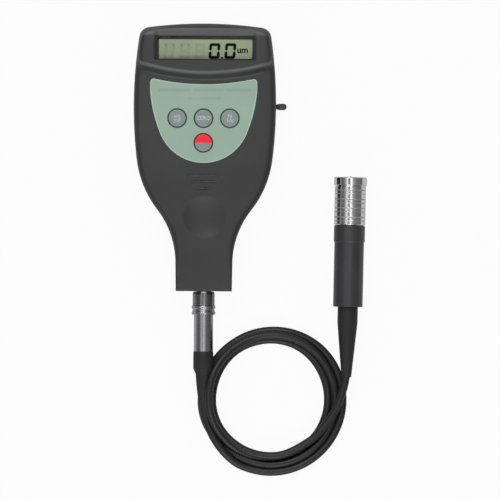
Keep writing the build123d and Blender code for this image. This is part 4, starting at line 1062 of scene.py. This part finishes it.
class GAUGE_OT_case(Operator):
    """Makes the case, the jack's tab and the film with the keys' rings of painted shade, and finishes what lies inside
    """
    bl_idname = "gauge.case"
    bl_label = "Case"

    def execute(self, context):
        s = context.scene.gauge_case
        shell = make_piece("case_front", case_front_patches(s.rim_radius / MM), [finish_of("case_plastic")], 40.0)
        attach(shell, "case")
        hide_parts("front_shell")
        smooth_copy("rear_shell", "case_rear", "case", "case_plastic")
        smooth_copy("battery_cover", "battery_door", "battery_cover", "case_plastic", 9.0)
        self.jack()
        for slot, nodes in INSIDE.items():
            for node in nodes:
                dress(node, finish_of(slot))
        dress("display_window", finish_of("window_clear"))
        dress("lcd_panel", finish_of("lcd_green"))
        film = grained("film_green", tuple(s.film_colour), 0.5, 5200.0, 0.00001, 0.04)
        dress("faceplate", film)
        self.film_trim(film)
        return {"FINISHED"}

    @staticmethod
    def jack():
        """Pull tab of the jack's cover and the dark mouth behind it. The tab is rings along its length, each
        (half width * cos^0.7, half height * sin^0.7), blunt at the case and round at its end, with a small dip
        in its upper side."""
        t = np.linspace(0, pi / 2, 9)
        x = np.concatenate([[32.78, 33.1, 33.5, 34.0, 34.6, 35.4], 36.1 + 1.48 * np.sin(t)])
        half_y = np.concatenate([[1.05, 1.12, 1.25, 1.42, 1.5, 1.5], 1.5 * np.cos(t) + 0.001])
        half_z = np.concatenate([[0.55, 0.6, 0.72, 0.84, 0.88, 0.88], 0.88 * np.cos(t) + 0.001])
        a = np.linspace(0, 2 * pi, 48, endpoint=False)
        ring_y, ring_z = (np.sign(wave) * np.abs(wave) ** 0.7 for wave in (np.cos(a), np.sin(a)))
        rings = np.stack([np.repeat(x[:, None], len(a), 1), JACK_Y + half_y[:, None] * ring_y,
                          JACK_Z + half_z[:, None] * ring_z], -1)
        dip = np.clip(1 - np.hypot(rings[..., 0] - 35.5, rings[..., 1] - JACK_Y) / 0.65, 0, 1)
        rings[..., 2] -= 0.35 * dip * (rings[..., 2] > JACK_Z)
        stem = soften([(0.0, 25.5), (1.2, 25.5), (1.2, 30.6), (1.9, 30.6), (1.9, 32.8), (0.0, 32.8)], 0.2)
        stem = lathe(stem, (0, JACK_Y, JACK_Z), (1, 0, 0), 64)
        tab = make_piece("jack_tab", [{"points": rings, "closed": True}, {"points": stem, "closed": True}],
                         [finish_of("jack_rubber")], 40.0, turn_out=True)
        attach(tab, "jack_cover")
        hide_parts("jack_cover")
        disc = lathe([(0, 0), (1.95, 0)], (HALF_HEAD + 0.03, JACK_Y, JACK_Z), (1, 0, 0), 48)
        mouth = make_piece("jack_mouth", [{"points": disc, "closed": True}], [finish_of("insert_black")])
        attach(mouth, "case")

    @staticmethod
    def film_trim(film):
        """What lies on the film and round it: the dark gap, the pale edge with its lip, the printed bars and the
        rings round the keys, whose darker green is painted shade."""
        outline = film_outline()
        gap = make_piece("film_gap", [ribbon(outline, -0.02, 0.26, GAP_Z)], [finish_of("insert_black")])
        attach(gap, "case")
        edge = make_piece("film_edge", [ribbon(outline, -0.42, 0.0, EDGE_Z),
                                        {**ribbon(outline, -1.6, -0.4, LIP_Z), "material": 1}],
                          [finish_of("film_edge"), film])
        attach(edge, "case")
        rules = []
        for first, last, row in RULES:
            ends = np.array([[*photo_point(column, row), PRINT_Z] for column in (first, last)])
            rules.append({"points": np.stack([ends - [0, RULE_HALF, 0], ends + [0, RULE_HALF, 0]])})
        printed = make_piece("film_rules", rules, [finish_of("film_print")])
        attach(printed, "case")
        # Rings of painted shade round the keys: a darker green where the gap round each key lies in shade
        a = np.linspace(2 * pi, 0, 96, endpoint=False)
        circle = KEY_RING * np.stack([np.cos(a), np.sin(a)], 1)
        rings = [ribbon(circle + place, -0.3, 0.0, RING_Z, True) for place in KEYS.values()]
        shade_rings = make_piece("key_shade_rings", rings, [finish_of("ring_green")])
        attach(shade_rings, "case")


class GAUGE_OT_keys(Operator):
    """Makes the four round keys and their words"""
    bl_idname = "gauge.keys"
    bl_label = "Keys"

    def execute(self, context):
        s = context.scene.gauge_case
        grey = grained("key_grey", tuple(s.key_colour), 0.45, 4200.0, 0.00001, 0.04)
        red = grained("key_red", tuple(s.power_colour), 0.42, 4200.0, 0.00001, 0.04)
        crown = KEY_TOP + 0.03
        profile = soften([(4.0, 20.2), (4.0, 21.0), (4.0, KEY_TOP), (2.0, crown), (0.0, crown)], 0.35)
        for name, (x, y) in KEYS.items():
            rings = lathe(profile, (x, y, 0), (0, 0, 1))
            patches = [{"points": rings, "closed": True}]
            if name == "key_power":
                # a quad is red where the middle of its diagonal lies in the upper half
                upper = (rings[:-1, :, 1] + np.roll(rings[1:, :, 1], -1, axis=1)) / 2 > y
                patches = [{**patches[0], "keep": upper, "material": 1}, {**patches[0], "keep": ~upper}]
            key = make_piece(name + "_cap", patches, [grey, red], 40.0, turn_out=True)
            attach(key, name)
            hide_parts(name)
            for row, words in enumerate(LEGENDS[name]):
                drop = 0.0 if len(LEGENDS[name]) == 1 else 0.95 - 1.9 * row
                legend = lettering(f"{name}_word_{row}", words, 2.55, 0.05, (x, y + drop), crown + 0.006,
                                   finish_of("key_print"))
                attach(legend, name)
        return {"FINISHED"}


class GAUGE_OT_display(Operator):
    """Draws the reading on the display"""
    bl_idname = "gauge.display"
    bl_label = "Display"

    def execute(self, context):
        ink = finish_of("display_ink")
        reading = self.digits([(208.4, 220.4, "abcdef"), (224.2, 236.2, "abcdef")], 43.6, 59.0)
        x, y = photo_point(222.1, 58.3)
        reading.append(np.array([[[x - 0.42, level], [x + 0.42, level]] for level in (y + 0.45, y - 0.4)]))
        self.printed("display_reading", reading, INK_Z, ink)
        idle = [(163.5, 175.0, "abcdefg"), (179.0, 190.4, "abcdefg"), (194.2, 205.6, "abcdefg")]
        self.printed("display_idle", self.digits(idle, 43.8, 58.8), IDLE_Z, finish_of("display_ghost"))
        unit = lettering("display_unit", "um", 4.0, 0.14, photo_point(242.6, 50.6), INK_Z, ink)
        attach(unit, "case")
        # painted shade: dark bars on the glass under the opening's upper and left sides, where the opening's wall
        # shades it
        half, low, high = WINDOW
        bars = (((-half - 0.3, high - 1.55), (half + 0.3, high + 0.3)),
                ((-half - 0.3, low - 0.3), (-half + 0.35, high)))
        pieces = [{"points": [[[x0, y0, SHADE_Z], [x1, y0, SHADE_Z]], [[x0, y1, SHADE_Z], [x1, y1, SHADE_Z]]]}
                  for (x0, y0), (x1, y1) in bars]
        shade = make_piece("display_shade", pieces, [finish_of("display_shade")])
        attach(shade, "case")
        return {"FINISHED"}

    @staticmethod
    def digits(places, top, bottom):
        """Seven-segment digits between columns and rows of the photograph. Each segment is a six-sided bar between
        two ends, narrower at both, and x leans to the right by a share of y."""
        thick, gap, lean = 1.3, 0.06, 0.075
        bars = []
        for left, right, lit in places:
            x0, y0 = photo_point(left, bottom)
            x1, y1 = photo_point(right, top)
            wide, high = x1 - x0 - 0.4, y1 - y0
            near, far, mid = thick / 2, wide - thick / 2, high / 2
            lines = {
                "a": ((0, high - thick / 2), (wide, high - thick / 2)), "d": ((0, near), (wide, near)),
                "g": ((0, mid), (wide, mid)), "f": ((near, mid), (near, high)), "b": ((far, mid), (far, high)),
                "e": ((near, 0), (near, mid)), "c": ((far, 0), (far, mid)),
            }
            for segment in lit:
                a, b = (np.array(p, float) for p in lines[segment])
                run = (b - a) / np.linalg.norm(b - a)
                across = np.array([-run[1], run[0]]) * thick / 2
                inner = run * (thick / 2 + gap)
                bar = np.stack([[a + run * gap, a + inner + side, b - inner + side, b - run * gap]
                                for side in (across, -across)])
                bar[..., 0] += bar[..., 1] * lean
                bars.append(bar + [x0, y0])
        return bars

    @staticmethod
    def printed(name, bars, level, material):
        """Flat bars at one height, all with their faces up."""
        patches = [{"points": np.concatenate([bar, np.full((*bar.shape[:2], 1), level)], -1)} for bar in bars]
        made = make_piece(name, patches, [material])

        def face_up(work):
            """Turns every face that looks down."""
            bmesh.ops.recalc_face_normals(work, faces=work.faces)
            for face in work.faces:
                if face.normal.z < 0:
                    face.normal_flip()

        rework(made.data, face_up)
        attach(made, "case")


class GAUGE_OT_plug(Operator):
    """Makes the plug, its sleeve and its boot"""
    bl_idname = "gauge.plug"
    bl_label = "Plug"

    def execute(self, context):
        middle, along = (0, 0, PLUG_Z), (0, 1, 0)
        front, back = -61.65, -72.35
        profile = [(2.6, -53.9), (3.4, -53.9), (3.4, front), (4.4, front), (4.4, -89.25), (2.6, -89.25)]
        turned_piece("plug_barrel", profile, middle, along, "lead", "plug_shell", "plug_chrome", 0.15)
        # the sleeve is smooth in front and has two ribs at its back
        ribs = ((back + 4.4, back + 2.7), (back + 1.7, back))
        rib_start = (5.05, ribs[0][0] + 0.1)
        smooth_part = [(4.48, front), (4.6, front), (5.05, front - 1.0), rib_start]
        ribbed_part = [rib_start]
        for high, low in ribs:
            ribbed_part += [(5.05, high), (5.45, high - 0.4), (5.45, low + 0.4), (5.05, low)]
        ribbed_part += [(4.48, back)]
        parts = [{"points": lathe(soften(part, 0.3), middle, along), "closed": True, "material": index}
                 for index, part in enumerate((smooth_part, ribbed_part))]
        finishes = [finish_of("sleeve_chrome"), finish_of("plug_chrome")]
        collar = make_piece("plug_collar", parts, finishes, turn_out=True)
        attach(collar, "plug_sleeve")
        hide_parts("plug_sleeve")
        made = make_piece("plug_boot_skin", [{"points": self.boot(), "closed": True}], [finish_of("boot_rubber")], 40.0,
                          turn_out=True)
        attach(made, "lead")
        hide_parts("plug_boot")
        return {"FINISHED"}

    @staticmethod
    def boot():
        """Tube of the plug's boot: rings square to its middle line. The head is straight. Along the tail t goes
        from 0 to 1, the line moves 1.7 t^2 aside and sinks by 3.2 (3 t^2 - 2 t^3), and the radius goes from 3.5
        to 2.1."""
        t = np.linspace(0, 1, 40)
        down = BOOT_TAIL_Y + (BOOT_END_Y - BOOT_TAIL_Y) * t
        tail = np.stack([1.7 * t**2, down, PLUG_Z - 3.2 * (3 * t**2 - 2 * t**3)], 1)
        head_y = (-89.2, -89.2, -89.5, -93.0, -96.9, -97.4)
        head = np.array([(0, y, PLUG_Z) for y in head_y])
        points = np.concatenate([head, tail, tail[-1:]])
        radii = np.concatenate([[0.0, 4.4, 4.62, 4.62, 4.62, 4.45], 3.5 - 1.4 * t, [0.0]])
        ahead = np.gradient(points, axis=0)
        ahead[:len(head)] = (0, -1, 0)
        ahead[-1] = ahead[-2]
        ahead /= np.linalg.norm(ahead, axis=1, keepdims=True)
        side = np.cross(ahead, (0, 0, 1.0))
        side /= np.linalg.norm(side, axis=1, keepdims=True)
        up = np.cross(side, ahead)
        a = np.linspace(0, 2 * pi, 64, endpoint=False)[None, :, None]
        return points[:, None] + radii[:, None, None] * (np.cos(a) * side[:, None] + np.sin(a) * up[:, None])


class GAUGE_OT_probe(Operator):
    """Makes the probe: its ribbed nose, its black body and its boot"""
    bl_idname = "gauge.probe"
    bl_label = "Probe"

    def execute(self, context):
        along = (sin(PROBE_LEAN), cos(PROBE_LEAN), 0)
        self.nose(along)
        profile = [(5.0, -22.2), (6.6, -22.4), (6.95, -22.45), (7.15, -22.65), (7.15, -29.7), (6.8, -30.0),
                   (6.8, -59.5), (6.5, -59.8), (4.7, -59.8)]
        turned_piece("probe_barrel", profile, PROBE_FACE, along, "lead", "probe_body", "probe_black", 0.2, 128)
        profile = [(0, -55.4), (4.65, -55.4), (4.65, -66.8), (2.25, -92.2), (0, -92.2)]
        turned_piece("probe_boot_skin", profile, PROBE_FACE, along, "lead", "probe_boot", "boot_rubber", 0.4)
        return {"FINISHED"}

    @staticmethod
    def nose(along):
        """Turned nose with a collar and four pairs of square grooves, a wide one and a narrow one in each pair,
        whose floors are matt bands in a darker steel, the darker colour being painted shade in the grooves."""
        profile = [(5.6, 0), (7.2, 0), (7.6, -0.4), (7.6, -3.65), (7.25, -3.85), (7.0, -4.05), (7.0, -4.25),
                   (7.2, -4.45)]
        floors = []
        for pair in range(4):
            for first, half in ((-6.05, 0.3), (-7.75, 0.19)):
                middle = first - pair * GROOVE_PITCH
                low, high = middle - half, middle + half
                profile += [(7.2, high), (7.08, high - 0.04), (7.08, low + 0.04), (7.2, low)]
                floor = lathe([(7.09, high - 0.06), (7.09, low + 0.06)], PROBE_FACE, along, 128)
                floors.append({"points": floor, "closed": True, "material": 1})
        profile += [(7.2, -21.75), (6.65, -22.45), (5.6, -22.45)]
        head = {"points": lathe(soften(profile, 0.1), PROBE_FACE, along, 128), "closed": True}
        finishes = [finish_of("probe_steel"), finish_of("groove_steel")]
        made = make_piece("probe_head", [head, *floors], finishes, 30.0, turn_out=True)
        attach(made, "lead")
        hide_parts("probe_nose")


class GAUGE_PT_panel(Panel):
    """Lists the settings and the pieces in the sidebar"""
    bl_label = "Surface Profile Gauge"
    bl_idname = "GAUGE_PT_panel"
    bl_space_type = "VIEW_3D"
    bl_region_type = "UI"
    bl_category = "Gauge"

    def draw(self, context):
        for group in (context.scene.gauge_case, context.scene.gauge_lead, context.scene.gauge_stage):
            box = self.layout.box()
            for name in group.__annotations__:
                box.prop(group, name)
        for operator in OPERATORS:
            self.layout.operator(operator.bl_idname)


SETTINGS = {"gauge_case": GaugeCaseSettings, "gauge_lead": GaugeLeadSettings, "gauge_stage": GaugeStageSettings}
OPERATORS = (
    GAUGE_OT_stage, GAUGE_OT_plug, GAUGE_OT_lead, GAUGE_OT_probe, GAUGE_OT_case, GAUGE_OT_display, GAUGE_OT_keys)


def register():
    """Adds the classes, and the settings to the scene."""
    for cls in (*SETTINGS.values(), *OPERATORS, GAUGE_PT_panel):
        bpy.utils.register_class(cls)
    for name, cls in SETTINGS.items():
        setattr(bpy.types.Scene, name, PointerProperty(type=cls))


def unregister():
    """Takes the settings and the classes away again."""
    for name in SETTINGS:
        delattr(bpy.types.Scene, name)
    for cls in (GAUGE_PT_panel, *OPERATORS[::-1], *list(SETTINGS.values())[::-1]):
        bpy.utils.unregister_class(cls)


def main():
    """Makes every piece in order."""
    register()
    for operator in OPERATORS:
        prefix, name = operator.bl_idname.split(".")
        getattr(getattr(bpy.ops, prefix), name)()


if __name__ == "__main__":
    main()
